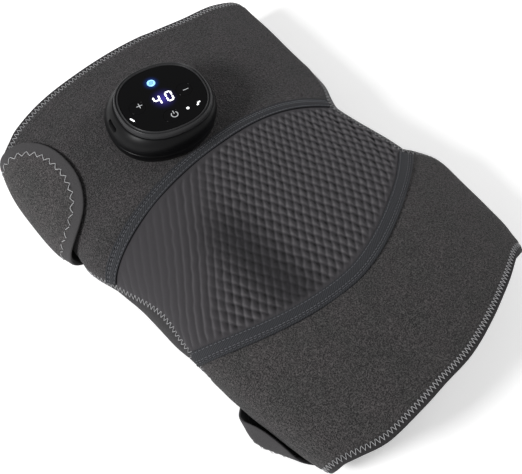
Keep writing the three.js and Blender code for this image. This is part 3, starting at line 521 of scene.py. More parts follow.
@dataclass(frozen=True)
class Velour(Finish):
    """Curly loop pile with a pressed, smoother border along its stitched edges."""

    light: Colour = linear(87, 85, 86)
    border: Colour = linear(46, 45, 46)
    curl_mm: float = 0.85
    patch_mm: float = 16.0

    def paint(self, p: Pattern) -> None:
        """Make the pile from two sizes of curl and a slow mottling."""
        place = p.place()
        curl = p.noise(place, self.curl_mm, 2.0)
        loops = p.cells(place, self.curl_mm * 0.8)
        patch = p.noise(place, self.patch_mm, 2.0)
        pile = p.ranged(p.sum(p.times(curl, 0.65), p.times(loops, 0.45)), 0.38, 0.78)
        raised = p.blend(pile, self.colour, self.light)
        warm = p.blend(p.ranged(patch, 0.35, 0.65), linear(240, 242, 240), linear(255, 252, 252))
        raised = p.blend(1.0, raised, warm, "MULTIPLY")
        edge = p.measure("border")
        weave = p.noise(place, 0.5, 1.0)
        flat = p.blend(p.ranged(weave, 0.3, 0.7), self.border, scaled(self.border, 1.25))
        p.set(Base_Color=p.blend(edge, raised, flat), Roughness=0.95, Sheen_Weight=0.12, Sheen_Roughness=0.45)
        p.set(Sheen_Tint=(0.75, 0.75, 0.78, 1.0), Specular_IOR_Level=0.15)
        depth = p.times(p.ranged(edge, 0.0, 1.0, 1.0, 0.25), pile)
        p.relief(depth, 0.55, 0.9)


@dataclass(frozen=True)
class Knit(Finish):
    """Fine ribbed jersey, pressed into raised cells, with painted shade in its grooves and valley and painted
    highlights on its ridges.
    """

    # groove paints shade in the grooves, crown paints a highlight on the ridge tops and shade paints shade in
    # the knee's valley; border is the pressed border's own colour.
    groove: Colour = linear(7, 7, 8)
    crown: Colour = linear(96, 94, 96)
    border: Colour = linear(42, 41, 42)
    shade: Colour = linear(150, 150, 153)
    course_mm: float = 0.55
    ridge_mm: float = 0.6

    def ridge(self, p: Pattern, phase: str, share: str) -> Socket:
        """Give how far places stand above or below the middle of a steep-sided ridge."""
        place = p.sum(p.measure(phase), 0.0, "FRACT")
        rising = p.ranged(place, 0.0, 0.24, -0.5, 0.5)
        height = p.sum(rising, p.ranged(place, 0.24, 1.0), "SUBTRACT")
        return p.times(height, p.measure(share))

    def paint(self, p: Pattern) -> None:
        """Make the jersey's courses and the crossing ridges, with painted shade on their far side, painted
        highlights on their tops and painted shade in the valley.
        """
        cloth = p.cloth_place()
        course = p.bands(cloth, self.course_mm, "X")
        row = p.bands(cloth, self.course_mm * 1.3, "Y")
        fleck = p.noise(p.place(), 0.7, 2.0)
        loops = p.sum(p.times(course, row), p.times(fleck, 0.6))
        lit = p.blend(p.ranged(loops, 0.2, 1.0), scaled(self.colour, 0.84), scaled(self.colour, 1.12))
        ridges = p.sum(self.ridge(p, "rib", "ribbed"), self.ridge(p, "lean", "crossed"))
        # Painted highlight on the ridge tops, then painted shade in the grooves on the ridges' far side.
        raised = p.blend(p.ranged(ridges, 0.1, 0.9), lit, self.crown)
        pressed = p.blend(p.ranged(ridges, -0.7, 0.25, 0.95, 0.0), raised, self.groove)
        # Painted shade in the knee's valley.
        shaded = p.blend(p.measure("shade"), pressed, p.blend(1.0, pressed, self.shade, "MULTIPLY"))
        p.set(Base_Color=p.blend(p.measure("border"), shaded, self.border), Roughness=0.78)
        p.set(
            Sheen_Weight=0.15, Sheen_Roughness=0.4, Sheen_Tint=(0.8, 0.8, 0.85, 1.0), Specular_IOR_Level=0.25
        )
        p.relief(p.sum(ridges, p.times(loops, 0.25)), self.ridge_mm, 0.9)


@dataclass(frozen=True)
class Twill(Finish):
    """Woven binding with a fine diagonal, and painted shade in its stitched grooves."""

    # groove paints shade on the corners that lie deep in a groove or at the tape's foot.
    groove: Colour = linear(16, 16, 20)
    pitch_mm: float = 1.0
    slant_degrees: float = 52.0

    def paint(self, p: Pattern) -> None:
        """Make the diagonal from the place along and across the tape."""
        values = {"Vector": p.cloth_place(), "Rotation": (0.0, 0.0, math.radians(self.slant_degrees))}
        turned = p.node("ShaderNodeMapping", values)
        line = p.bands(turned.outputs["Vector"], self.pitch_mm, "X")
        fleck = p.noise(p.place(), 0.6, 2.0)
        raised = p.sum(p.times(line, 0.7), p.times(fleck, 0.5))
        lit = p.blend(p.ranged(raised, 0.2, 0.9), scaled(self.colour, 0.55), scaled(self.colour, 1.6))
        # Painted shade: the corners marked deep take the groove colour.
        p.set(Base_Color=p.blend(p.measure("deep"), lit, self.groove), Roughness=0.72, Specular_IOR_Level=0.2)
        p.relief(raised, 0.3, 0.8)


@dataclass(frozen=True)
class Plush(Finish):
    """Soft lining with long pile, or any plain backing, by its grain."""

    grain_mm: float = 1.4
    depth_mm: float = 0.8

    def paint(self, p: Pattern) -> None:
        """Make tufts of two sizes."""
        place = p.place()
        tuft = p.noise(place, self.grain_mm, 4.0)
        clump = p.noise(place, self.grain_mm * 6, 2.0)
        both = p.sum(p.times(tuft, 0.7), p.times(clump, 0.3))
        lit = p.blend(p.ranged(both, 0.35, 0.65), scaled(self.colour, 0.7), scaled(self.colour, 1.4))
        p.set(Base_Color=lit, Roughness=0.95, Sheen_Weight=0.25, Sheen_Roughness=0.5, Specular_IOR_Level=0.1)
        p.relief(both, self.depth_mm, 0.8)


@dataclass(frozen=True)
class Thread(Finish):
    """Twisted sewing thread."""

    def paint(self, p: Pattern) -> None:
        """Make the thread's fibres."""
        fibre = p.noise(p.place(), 0.35, 2.0)
        lit = p.blend(p.ranged(fibre, 0.35, 0.65), scaled(self.colour, 0.7), scaled(self.colour, 1.2))
        p.set(Base_Color=lit, Roughness=0.6, Sheen_Weight=0.2, Sheen_Roughness=0.3)
        p.relief(fibre, 0.08, 0.7)


@dataclass(frozen=True)
class Moulded(Finish):
    """Moulded plastic with a fine spark-eroded grain and slight wear."""

    roughness: float = 0.42
    grain_mm: float = 0.22
    grain_depth_mm: float = 0.012

    def paint(self, p: Pattern) -> None:
        """Make the grain, and let hands have polished some of it."""
        place = p.place()
        grain = p.noise(place, self.grain_mm, 2.0)
        handled = p.noise(place, 9.0, 3.0)
        lit = p.blend(p.ranged(handled, 0.35, 0.7), self.colour, scaled(self.colour, 1.18))
        rough = p.ranged(handled, 0.3, 0.7, self.roughness + 0.05, self.roughness - 0.06)
        p.set(Base_Color=lit, Roughness=rough, Specular_IOR_Level=0.12)
        p.relief(grain, self.grain_depth_mm, 0.6)


@dataclass(frozen=True)
class Glass(Finish):
    """Black display glass that a lit number and sign glow through."""

    number: Place = (0.0, 0.0, 0.0)
    number_glow: Colour = (0.11, 0.08, 0.7)
    number_reach_mm: float = 9.0
    sign: Place = (0.0, 0.0, 0.0)
    sign_glow: Colour = (0.02, 0.16, 1.0)
    sign_reach_mm: float = 5.6

    def _glow(self, p: Pattern, middle: Place, reach: float, power: float) -> Socket:
        """Give a light that fades out round a place."""
        away = p.node(
            "ShaderNodeVectorMath", {0: p.place(), 1: tuple(c * MM for c in middle)}, operation="DISTANCE"
        )
        near = p.ranged(away.outputs["Value"], 0.0, reach * MM, 1.0, 0.0)
        return p.sum(near, power, "POWER")

    def paint(self, p: Pattern) -> None:
        """Make the gloss, faint smears and the two glows."""
        smear = p.noise(p.place(), 14.0, 3.0)
        number = self._glow(p, self.number, self.number_reach_mm, 2.4)
        sign = self._glow(p, self.sign, self.sign_reach_mm, 2.2)
        black = (0.0, 0.0, 0.0)
        light = p.blend(
            1.0, p.blend(number, black, self.number_glow), p.blend(sign, black, self.sign_glow), "ADD"
        )
        p.set(Base_Color=self.colour, Roughness=p.ranged(smear, 0.4, 0.7, 0.05, 0.11), Emission_Color=light)
        p.set(Emission_Strength=0.55, Specular_IOR_Level=0.05)


@dataclass(frozen=True)
class Lit(Finish):
    """Small lamp behind the glass, whiter in its middle."""

    strength: float = 1.0
    tint: Colour = (1.0, 1.0, 1.0)

    def paint(self, p: Pattern) -> None:
        """Make the lamp's light and its slight unevenness."""
        uneven = p.ranged(p.noise(p.place(), 2.5, 1.0), 0.3, 0.7)
        p.set(Base_Color=self.colour, Roughness=0.3, Emission_Color=p.blend(uneven, self.tint, self.colour))
        p.set(Emission_Strength=self.strength)


@dataclass(frozen=True)
class Metal(Finish):
    """Bare metal with fine drawn lines."""

    roughness: float = 0.3

    def paint(self, p: Pattern) -> None:
        """Make the metal's lines and stains."""
        drawn = p.node("ShaderNodeMapping", {"Vector": p.place(), "Scale": (1.0, 1.0, 14.0)})
        line = p.noise(drawn.outputs["Vector"], 0.9, 2.0)
        stain = p.noise(p.place(), 3.0, 2.0)
        lit = p.blend(p.ranged(stain, 0.3, 0.7), scaled(self.colour, 0.85), self.colour)
        p.set(
            Base_Color=lit,
            Metallic=1.0,
            Roughness=p.ranged(line, 0.3, 0.7, self.roughness - 0.06, self.roughness + 0.1),
        )
        p.relief(line, 0.01, 0.5)


@dataclass(frozen=True)
class Printed(Finish):
    """Board, foil or film with tracks or strips in a second colour."""

    track: Colour = (0.3, 0.2, 0.05)
    pitch_mm: float = 3.0
    gloss: float = 0.4

    def paint(self, p: Pattern) -> None:
        """Make the tracks and a fine grain."""
        place = p.place()
        line = p.bands(place, self.pitch_mm, "X")
        pad = p.cells(place, self.pitch_mm * 0.8)
        mark = p.sum(p.ranged(line, 0.72, 0.8), p.ranged(pad, 0.2, 0.16), "MAXIMUM")
        p.set(Base_Color=p.blend(mark, self.colour, self.track), Roughness=self.gloss)
        p.relief(mark, 0.04, 0.6)


class Skin(Enum):
    """Every finish on the massager."""

    VELOUR = Velour("charcoal_velour", linear(32, 31, 32))
    CALF_VELOUR = Velour("calf_velour", linear(34, 33, 34), light=linear(90, 88, 88))
    STRAP_VELOUR = Velour(
        "strap_velour", linear(38, 37, 38), light=linear(98, 96, 96), border=linear(63, 62, 63)
    )
    BACKING = Plush("cloth_backing", linear(36, 35, 37), 0.7, 0.2)
    KNIT = Knit("quilted_knit", linear(64, 62, 65))
    TAPE = Twill("binding_tape", linear(41, 42, 45))
    PLUSH = Plush("plush_lining", linear(44, 42, 43))
    HOOK = Plush("hook_cloth", linear(30, 30, 32), 0.9, 0.3)
    HOOKS = Thread("hook_threads", linear(44, 44, 46))
    EDGE_THREAD = Thread("edge_thread", linear(158, 158, 160))
    TAB_THREAD = Thread("tab_thread", linear(178, 178, 180))
    DARK_THREAD = Thread("seam_thread", linear(92, 93, 98))
    BODY = Moulded("black_shell", linear(8, 8, 9), 0.36)
    # The rim's grey, far lighter than the body's black, is partly its own dark grey and partly painted light,
    # as it faces up.
    RIM = Moulded("grey_rim", linear(50, 50, 51), 0.3)
    GLASS = Glass(
        "black_gloss", linear(6, 6, 7), number=(-12.036, 76.141, 71.163), sign=(-9.972, 89.254, 71.163)
    )
    LIT_NUMBER = Lit("lit_number", (1.0, 1.0, 1.0), 1.25, (0.86, 0.86, 1.0))
    LIT_SIGN = Lit("lit_sign", (0.36, 0.72, 1.0), 0.68, (0.1, 0.38, 0.9))
    SIGN_MARK = Lit("sign_mark", (0.05, 0.2, 0.42), 0.5, (0.04, 0.18, 0.4))
    # White glow for the marks at the glass's edge: the bar among them is a painted highlight, the dot and the
    # bent stroke are lit marks.
    GLOW_AND_PAINTED_HIGHLIGHT = Lit("glow_and_painted_highlight", (0.95, 0.96, 0.97), 0.95, (0.85, 0.86, 0.88))
    FAINT_MARK = Lit("faint_mark", (0.4, 0.41, 0.42), 0.5, (0.34, 0.35, 0.36))
    STEEL = Metal("bright_steel", linear(190, 190, 194))
    FOIL = Printed("heater_foil", linear(120, 82, 48), linear(60, 40, 24), 5.0, 0.35)
    LEAD = Printed("flat_lead", linear(140, 92, 44), linear(190, 140, 70), 2.0, 0.4)
    CUTOFF = Metal("cutoff_case", linear(150, 150, 155), 0.4)
    SENSOR = Moulded("sensor_case", linear(60, 44, 28), 0.5)
    DISPLAY = Printed("display_blue", linear(14, 20, 48), linear(40, 60, 120), 3.0, 0.35)
    BOARD = Printed("circuit_green", linear(20, 80, 44), linear(160, 140, 70), 2.5, 0.45)
    BATTERY = Printed("battery_wrap", linear(42, 79, 143), linear(60, 100, 165), 9.0, 0.4)


# Meshes


class Maker:
    """Turns points in millimetres into pieces at the origin, with their place in the mesh."""

    @staticmethod
    def piece(
        name: str,
        points: Array,
        faces: Sequence[Sequence[int]],
        skins: Sequence[Skin],
        kinds: Sequence[int] = (),
    ) -> Piece:
        """Make a piece from points and faces.

        Args:
            name: The piece's name.
            points: Rows of X, Y and Z in millimetres.
            faces: Corner numbers of each face.
            skins: The finishes that its faces choose from.
            kinds: The number of the finish of each face, or none for the first.

        Returns:
            The new object.
        """
        mesh = bpy.data.meshes.new(name)
        mesh.from_pydata((np.asarray(points, float) * MM).tolist(), [], [tuple(f) for f in faces])
        for skin in skins:
            mesh.materials.append(skin.value.dressed())
        if len(kinds):
            mesh.polygons.foreach_set("material_index", np.asarray(kinds, np.int32))
        mesh.shade_smooth()
        return add(name, mesh)

    @staticmethod
    def keep(made: Piece, name: str, values: Array) -> None:
        """Keep a number at each corner of a piece.

        Args:
            made: The piece.
            name: Name that the finish finds it by.
            values: One number for each corner.
        """
        layer = made.data.attributes.new(name, "FLOAT", "POINT")
        layer.data.foreach_set("value", np.asarray(values, np.float32))

    @staticmethod
    def lay_flat(made: Piece, places: Array) -> None:
        """Keep each corner's place on the flat cloth, given in millimetres.

        Args:
            made: The piece.
            places: Rows of two numbers, one for each corner.
        """
        mesh = made.data
        layer = mesh.uv_layers.new(name="cloth")
        corners = np.zeros(len(mesh.loops), np.int32)
        mesh.loops.foreach_get("vertex_index", corners)
        layer.data.foreach_set("uv", (places[corners] * MM).astype(np.float32).ravel())

    @staticmethod
    def tidy(made: Piece) -> None:
        """Merge corners that lie on each other and turn faces outwards.

        Args:
            made: The piece.
        """
        work = bmesh.new()
        work.from_mesh(made.data)
        bmesh.ops.remove_doubles(work, verts=work.verts, dist=MERGE_MM * MM)
        bmesh.ops.dissolve_degenerate(work, edges=work.edges, dist=MERGE_MM * MM / 10)
        bmesh.ops.recalc_face_normals(work, faces=work.faces)
        work.to_mesh(made.data)
        work.free()

    @staticmethod
    def settle(made: Piece) -> None:
        """Turn a piece's modifiers into its mesh.

        Args:
            made: The piece.
        """
        graph = bpy.context.evaluated_depsgraph_get()
        mesh = bpy.data.meshes.new_from_object(made.evaluated_get(graph))
        made.modifiers.clear()
        old = made.data
        made.data = mesh
        mesh.name = made.name
        if old.users == 0 and isinstance(old, bpy.types.Mesh):
            bpy.data.meshes.remove(old)

    @staticmethod
    def crisp(made: Piece, degrees: float = 32.0) -> None:
        """Shade a hard piece smooth, but for its sharp edges, and keep its flats flat.

        Args:
            made: The piece.
            degrees: Least angle of a sharp edge.
        """
        made.data.shade_smooth()
        made.data.set_sharp_from_angle(angle=math.radians(degrees))
        weigh = made.modifiers.new("flats", "WEIGHTED_NORMAL")
        weigh.keep_sharp = True
        Maker.settle(made)

    @staticmethod
    def cut(made: Piece, tool: Piece) -> None:
        """Take a tool's shape out of a piece, and the tool out of the scene."""
        step = made.modifiers.new("cut", "BOOLEAN")
        step.operation, step.solver, step.object = "DIFFERENCE", "EXACT", tool
        Maker.settle(made)
        bpy.data.objects.remove(tool)

    @staticmethod
    def report(made: Piece) -> None:
        """Report a piece and how many faces it has."""
        LOG.info("%s: %d faces", made.name, len(made.data.polygons))


def ring_faces(rounds: int, count: int) -> list[tuple[int, int, int, int]]:
    """Give the faces between closed rings of points, the last of which joins the first.

    Args:
        rounds: Number of rings.
        count: Points in each ring.

    Returns:
        Four corner numbers for each face.
    """
    faces = []
    for i in range(rounds):
        here, there = i * count, ((i + 1) % rounds) * count
        faces += [
            (here + k, there + k, there + (k + 1) % count, here + (k + 1) % count) for k in range(count)
        ]
    return faces


def capped_faces(rings: int, count: int) -> list[tuple[int, ...]]:
    """Give the faces between open rings of count points, with both ends closed."""
    last = (rings - 1) * count
    ends = [tuple(range(count)), tuple(range(rings * count - 1, last - 1, -1))]
    return [*ring_faces(rings, count)[:last], *ends]


def grid_faces(number: Array) -> Array:
    """Give the faces between the numbered corners of a grid."""
    corners = [number[:-1, :-1], number[1:, :-1], number[1:, 1:], number[:-1, 1:]]
    return np.stack(corners, axis=-1).reshape(-1, 4)


def turned(profile: Points, sides: int) -> tuple[Array, list[tuple[int, ...]]]:
    """Turn a profile that starts and ends on its axis round that axis.

    Args:
        profile: Distance from the axis and height of each corner.
        sides: Steps of the turn.

    Returns:
        The points, a row for each step, and the faces.
    """
    turns = np.linspace(0, 2 * math.pi, sides, endpoint=False)
    rings = [np.stack([r * np.cos(turns), r * np.sin(turns), np.full(sides, z)], axis=-1) for r, z in profile]
    count = len(profile)
    faces = [f for i, f in enumerate(ring_faces(sides, count)) if i % count != count - 1]
    return np.stack(rings, axis=1), faces


def lengths(row: Array) -> Array:
    """Measure how far along a row each of its corners lies."""
    return np.concatenate([[0.0], np.cumsum(np.hypot(*np.diff(row, axis=0).T))])


def along_row(row: Array, wanted: Array) -> Array:
    """Find the places at wanted lengths along a row."""
    length = lengths(row)
    return np.stack([np.interp(wanted, length, row[:, k]) for k in (0, 1)], axis=-1)


def leftwards(row: Array) -> Array:
    """Give the direction to the left of a row at each corner."""
    ahead = np.gradient(row, axis=0)
    left = np.stack([-ahead[:, 1], ahead[:, 0]], axis=-1)
    return left / np.maximum(np.linalg.norm(left, axis=1, keepdims=True), 1e-9)


def inset(row: Array, distance: float | Array) -> Array:
    """Move a row of points on the flat to its left by a distance, or each by its own."""
    return row + distance * leftwards(row)


def even_row(row: Array, step: float = 1.0) -> Array:
    """Space the corners of a row evenly."""
    whole = lengths(row)[-1]
    return along_row(row, np.linspace(0, whole, max(int(whole / step), 2)))


def slow_waves(u: Array, v: Array, length_mm: float, seed: int) -> Array:
    """Give gentle random hills of about a length, from -1 to 1.

    Args:
        u: Places across, in millimetres.
        v: Places along, in millimetres.
        length_mm: Length of a hill.
        seed: Start of the random draws.

    Returns:
        The height at each place.
    """
    chance = np.random.default_rng(seed)
    hills = np.zeros_like(u, float)
    for _ in range(7):
        turn, phase = chance.uniform(0, 2 * math.pi), chance.uniform(0, 2 * math.pi)
        size = chance.uniform(0.7, 1.5)
        hills += np.sin(2 * math.pi * (u * math.cos(turn) + v * math.sin(turn)) / (length_mm * size) + phase)
    return hills / 4.5


def far_from(points: Array, line: Array) -> Array:
    """Measure how far points on the flat are from a closed line.

    Args:
        points: Rows of two numbers.
        line: Corners of the line, in order.

    Returns:
        The least distance of each point.
    """
    step = np.roll(line, -1, axis=0) - line
    size = np.maximum((step**2).sum(1), 1e-12)
    least = np.empty(len(points))
    at_once = 3000
    for first in range(0, len(points), at_once):
        part = points[first : first + at_once, None, :] - line[None]
        along = np.clip((part * step[None]).sum(2) / size[None], 0, 1)
        square = ((part - along[..., None] * step[None]) ** 2).sum(2)
        least[first : first + at_once] = np.sqrt(square.min(1))
    return least


@dataclass
class Sheet:
    """One piece of cloth with two faces and a rounded edge, cut to an outline on the leg tube."""

    tube: LegTube
    name: str
    shares: Array
    low: Edge
    high: Edge
    inner: Edge
    outer: Edge
    step: float = 1.4
    lift: Lift | None = None
    near_edge: tuple[float, ...] = (0.0, 0.12, 0.45, 0.95, 1.5)

    def columns(self) -> Array:
        """Return the shares of the grid's columns, closer together at both ends."""
        near = np.array(self.near_edge[1:-1]) / self.tube.quarter
        first, last, clear = self.shares[0], self.shares[-1], near[-1] * 1.4
        inside = self.shares[(self.shares > first + clear) & (self.shares < last - clear)]
        return np.concatenate([[first], first + near, inside, last - near[::-1], [last]])

    def grid(self) -> tuple[Array, Array]:
        """Return the shares and lengths of the grid's corners."""
        columns = self.columns()
        low, high = self.low(columns), self.high(columns)
        reach = high - low
        count = max(int(reach.max() / self.step), 6)
        ends = len(self.near_edge)
        rows = [np.minimum(near, reach * k / (2.5 * ends)) for k, near in enumerate(self.near_edge)]
        last = rows[-1]
        middle = [last + (reach - 2 * last) * k / count for k in range(1, count)]
        rows = rows + middle + [reach - r for r in rows[::-1]]
        y = low[:, None] + np.stack(rows, axis=1)
        return np.broadcast_to(columns[:, None], y.shape).copy(), y

    def build(self, skins: Sequence[Skin], form: Form) -> tuple[Piece, float]:
        """Make the cloth.

        Args:
            skins: The finish of the outer face and of the inner one.
            form: Gives the height that the outer face gains, as height, and numbers for the finish to keep,
                from the share, the length along and the distance from the nearest edge.

        Returns:
            The piece and its flat area in square metres.
        """
        share, y = self.grid()
        flat = np.stack([share * self.tube.quarter, y], axis=-1)
        rim = np.concatenate([flat[:, 0], flat[-1, 1:], flat[-2::-1, -1], flat[0, -2:0:-1]])
        away = far_from(flat.reshape(-1, 2), rim).reshape(share.shape)
        inner, outer = self.inner(share), self.outer(share)
        half, middle = (outer - inner) / 2, (outer + inner) / 2
        round_part = np.sqrt(np.clip(1 - (1 - np.minimum(away / np.maximum(half, 0.2), 1)) ** 2, 0, 1))
        kept = form(share, y, away)
        height = kept.pop("height") * round_part
        sink = kept.pop("inner", np.zeros_like(share)) * round_part
        lift = self.lift(share, y) if self.lift else 0.0
        top = self.tube.point(share, y, middle + half * round_part + height, lift)
        under = self.tube.point(share, y, middle - half * round_part + sink, lift)

        columns, rows = share.shape
        number = np.arange(columns * rows).reshape(columns, rows)
        under_number = np.full((columns, rows), -1)
        inside = np.zeros((columns, rows), bool)
        inside[1:-1, 1:-1] = True
        under_number[inside] = columns * rows + np.arange(inside.sum())
        under_number[~inside] = number[~inside]
        points = np.concatenate([top.reshape(-1, 3), under[inside]])
        faces = np.concatenate([grid_faces(number), grid_faces(under_number)[:, ::-1]])
        kinds = np.repeat([0, 1 if len(skins) > 1 else 0], len(faces) // 2)
        made = Maker.piece(self.name, points, faces.tolist(), skins, kinds)
        Maker.lay_flat(made, np.concatenate([flat.reshape(-1, 2), flat[inside]]))
        for key, values in kept.items():
            Maker.keep(made, key, np.concatenate([values.reshape(-1), values[inside]]))
        Maker.tidy(made)
        cells = np.cross(np.diff(flat, axis=0)[:, :-1], np.diff(flat, axis=1)[:-1])
        return made, float(np.abs(cells).sum()) * MM * MM


# Sewing


class ThreadTree:
    """Geometry Nodes tree that lays one arched thread at every point."""

    @staticmethod
    def made() -> bpy.types.NodeTree:
        """Return the tree, made once, with named inputs for its sizes."""
        found = bpy.data.node_groups.get("laid_threads")
        if found:
            return found
        tree = bpy.data.node_groups.new("laid_threads", "GeometryNodeTree")
        face = tree.interface
        face.new_socket("Geometry", in_out="INPUT", socket_type="NodeSocketGeometry")
        for name in ("Stitch Length", "Thread Radius", "Rise", "Sink", "Slant"):
            face.new_socket(name, in_out="INPUT", socket_type="NodeSocketFloat")
        face.new_socket("Material", in_out="INPUT", socket_type="NodeSocketMaterial")
        face.new_socket("Geometry", in_out="OUTPUT", socket_type="NodeSocketGeometry")
        made = Nodes(tree)
        node = made.node
        given = node("NodeGroupInput").outputs
        half, down = made.times(given["Stitch Length"], 0.5), made.times(given["Sink"], -1.0)
        start = node("ShaderNodeCombineXYZ", {"X": made.times(half, -1.0), "Z": down})
        top = node("ShaderNodeCombineXYZ", {"Z": made.times(given["Rise"], 2.0)})
        end = node("ShaderNodeCombineXYZ", {"X": half, "Z": down})
        line = {"Resolution": 5, "Start": start.outputs[0], "Middle": top.outputs[0], "End": end.outputs[0]}
        arch = node("GeometryNodeCurveQuadraticBezier", line)
        cross = node("GeometryNodeCurvePrimitiveCircle", {"Resolution": 5, "Radius": given["Thread Radius"]})
        swept = {"Curve": arch.outputs[0], "Profile Curve": cross.outputs[0], "Fill Caps": True}
        thread = node("GeometryNodeCurveToMesh", swept)
        out, along = (
            node("GeometryNodeInputNamedAttribute", {"Name": name}, data_type="FLOAT_VECTOR").outputs[0]
            for name in ("outward", "along")
        )
        stand = node("FunctionNodeAxesToRotation", {0: out, 1: along}, primary_axis="Z", secondary_axis="X")
        odd = made.sum(node("GeometryNodeInputIndex").outputs[0], 2.0, "MODULO")
        angle = made.times(given["Slant"], made.sum(1.0, made.times(odd, 2.0), "SUBTRACT"))
        turn = node("FunctionNodeAxisAngleToRotation", {"Axis": (0.0, 0.0, 1.0), "Angle": angle})
        both = {"Rotation": stand.outputs[0], "Rotate By": turn.outputs[0]}
        laid = node("FunctionNodeRotateRotation", both, rotation_space="LOCAL")
        spread = {"Points": given["Geometry"], "Instance": thread.outputs[0], "Rotation": laid.outputs[0]}
        threads = node("GeometryNodeInstanceOnPoints", spread)
        real = node("GeometryNodeRealizeInstances", {"Geometry": threads.outputs[0]})
        soft = node("GeometryNodeSetShadeSmooth", {"Geometry": real.outputs[0]})
        skin = node("GeometryNodeSetMaterial", {"Geometry": soft.outputs[0], "Material": given["Material"]})
        tree.links.new(skin.outputs[0], node("NodeGroupOutput").inputs[0])
        return tree


@dataclass(frozen=True)
class Stitch:
    """One kind of stitch: its step along the row, its width across it, and its thread."""

    skin: Skin
    step: float
    width: float = 0.0
    thread: float = 0.2
    rise: float = 0.22
    sink: float = 0.15
    share_of_step: float = 1.0

    def length(self) -> float:
        """Length of one laid thread."""
        return math.hypot(self.step * self.share_of_step, self.width)

    def slant(self) -> float:
        """Turn of a laid thread from its row."""
        return math.atan2(self.width, self.step)


@dataclass
class Sewing:
    """Sews rows of stitches onto the wrap."""

    tube: LegTube

    def stations(self, row: Array, step: float, trim: float = 0.0) -> tuple[Array, Array]:
        """Space points evenly along a row.

        Args:
            row: Corners of the row on the flat cloth.
            step: Distance between points.
            trim: Length left bare at each end.

        Returns:
            The points on the flat, and the row's direction at each.
        """
        wanted = np.arange(trim + step / 2, lengths(row)[-1] - trim, step)
        direction = along_row(row, wanted + 0.3) - along_row(row, wanted - 0.3)
        size = np.linalg.norm(direction, axis=1, keepdims=True)
        return along_row(row, wanted), direction / np.maximum(size, 1e-9)

    def sew(
        self,
        name: str,
        rows: Sequence[Array],
        stitch: Stitch,
        offset: float,
        trim: float = 0.0,
        lift: Lift | None = None,
        inwards: bool = False,
    ) -> Piece:
        """Sew rows of one kind of stitch.

        Args:
            name: The name of the piece that all the threads make.
            rows: Corners of each row on the flat cloth.
            stitch: The kind of stitch.
            offset: Distance of the threads from the tube.
            trim: Length left bare at the ends of each row.
            lift: Sideways distance of a slack cloth, if any.
            inwards: Whether the threads stand out of the inner face.

        Returns:
            The threads as one piece.
        """
        places, outs, alongs = [], [], []
        for row in rows:
            flat, direction = self.stations(row, stitch.step, trim)
            if not len(flat):
                continue
            here, there = (
                self.tube.point(place[:, 0] / self.tube.quarter, place[:, 1], offset, raised)
                for place in (flat, flat + direction * 0.4)
                for raised in [lift(place[:, 0] / self.tube.quarter, place[:, 1]) if lift else 0.0]
            )
            places.append(here)
            alongs.append(there - here)
            out = self.tube.outward(flat[:, 0] / self.tube.quarter, flat[:, 1], offset)
            outs.append(out * (-1 if inwards else 1))
        points = np.concatenate(places)
        mesh = bpy.data.meshes.new(name)
        mesh.from_pydata((points * MM).tolist(), [], [])
        for key, values in (("outward", np.concatenate(outs)), ("along", np.concatenate(alongs))):
            layer = mesh.attributes.new(key, "FLOAT_VECTOR", "POINT")
            layer.data.foreach_set("vector", np.asarray(values, np.float32).ravel())
        made = add(name, mesh)
        tree = ThreadTree.made()
        step = made.modifiers.new("threads", "NODES")
        step.node_group = tree
        sizes = {
            "Stitch Length": stitch.length() * MM,
            "Thread Radius": stitch.thread * MM,
            "Rise": stitch.rise * MM,
            "Sink": stitch.sink * MM,
            "Slant": stitch.slant(),
            "Material": stitch.skin.value.dressed(),
        }
        for item in tree.interface.items_tree:
            if item.item_type == "SOCKET" and item.in_out == "INPUT" and item.name in sizes:
                step[item.identifier] = sizes[item.name]
        Maker.settle(made)
        for key in ("outward", "along"):
            found = made.data.attributes.get(key)
            if found:
                made.data.attributes.remove(found)
        LOG.info("%s: %d threads", name, len(points))
        return made


# Wrap


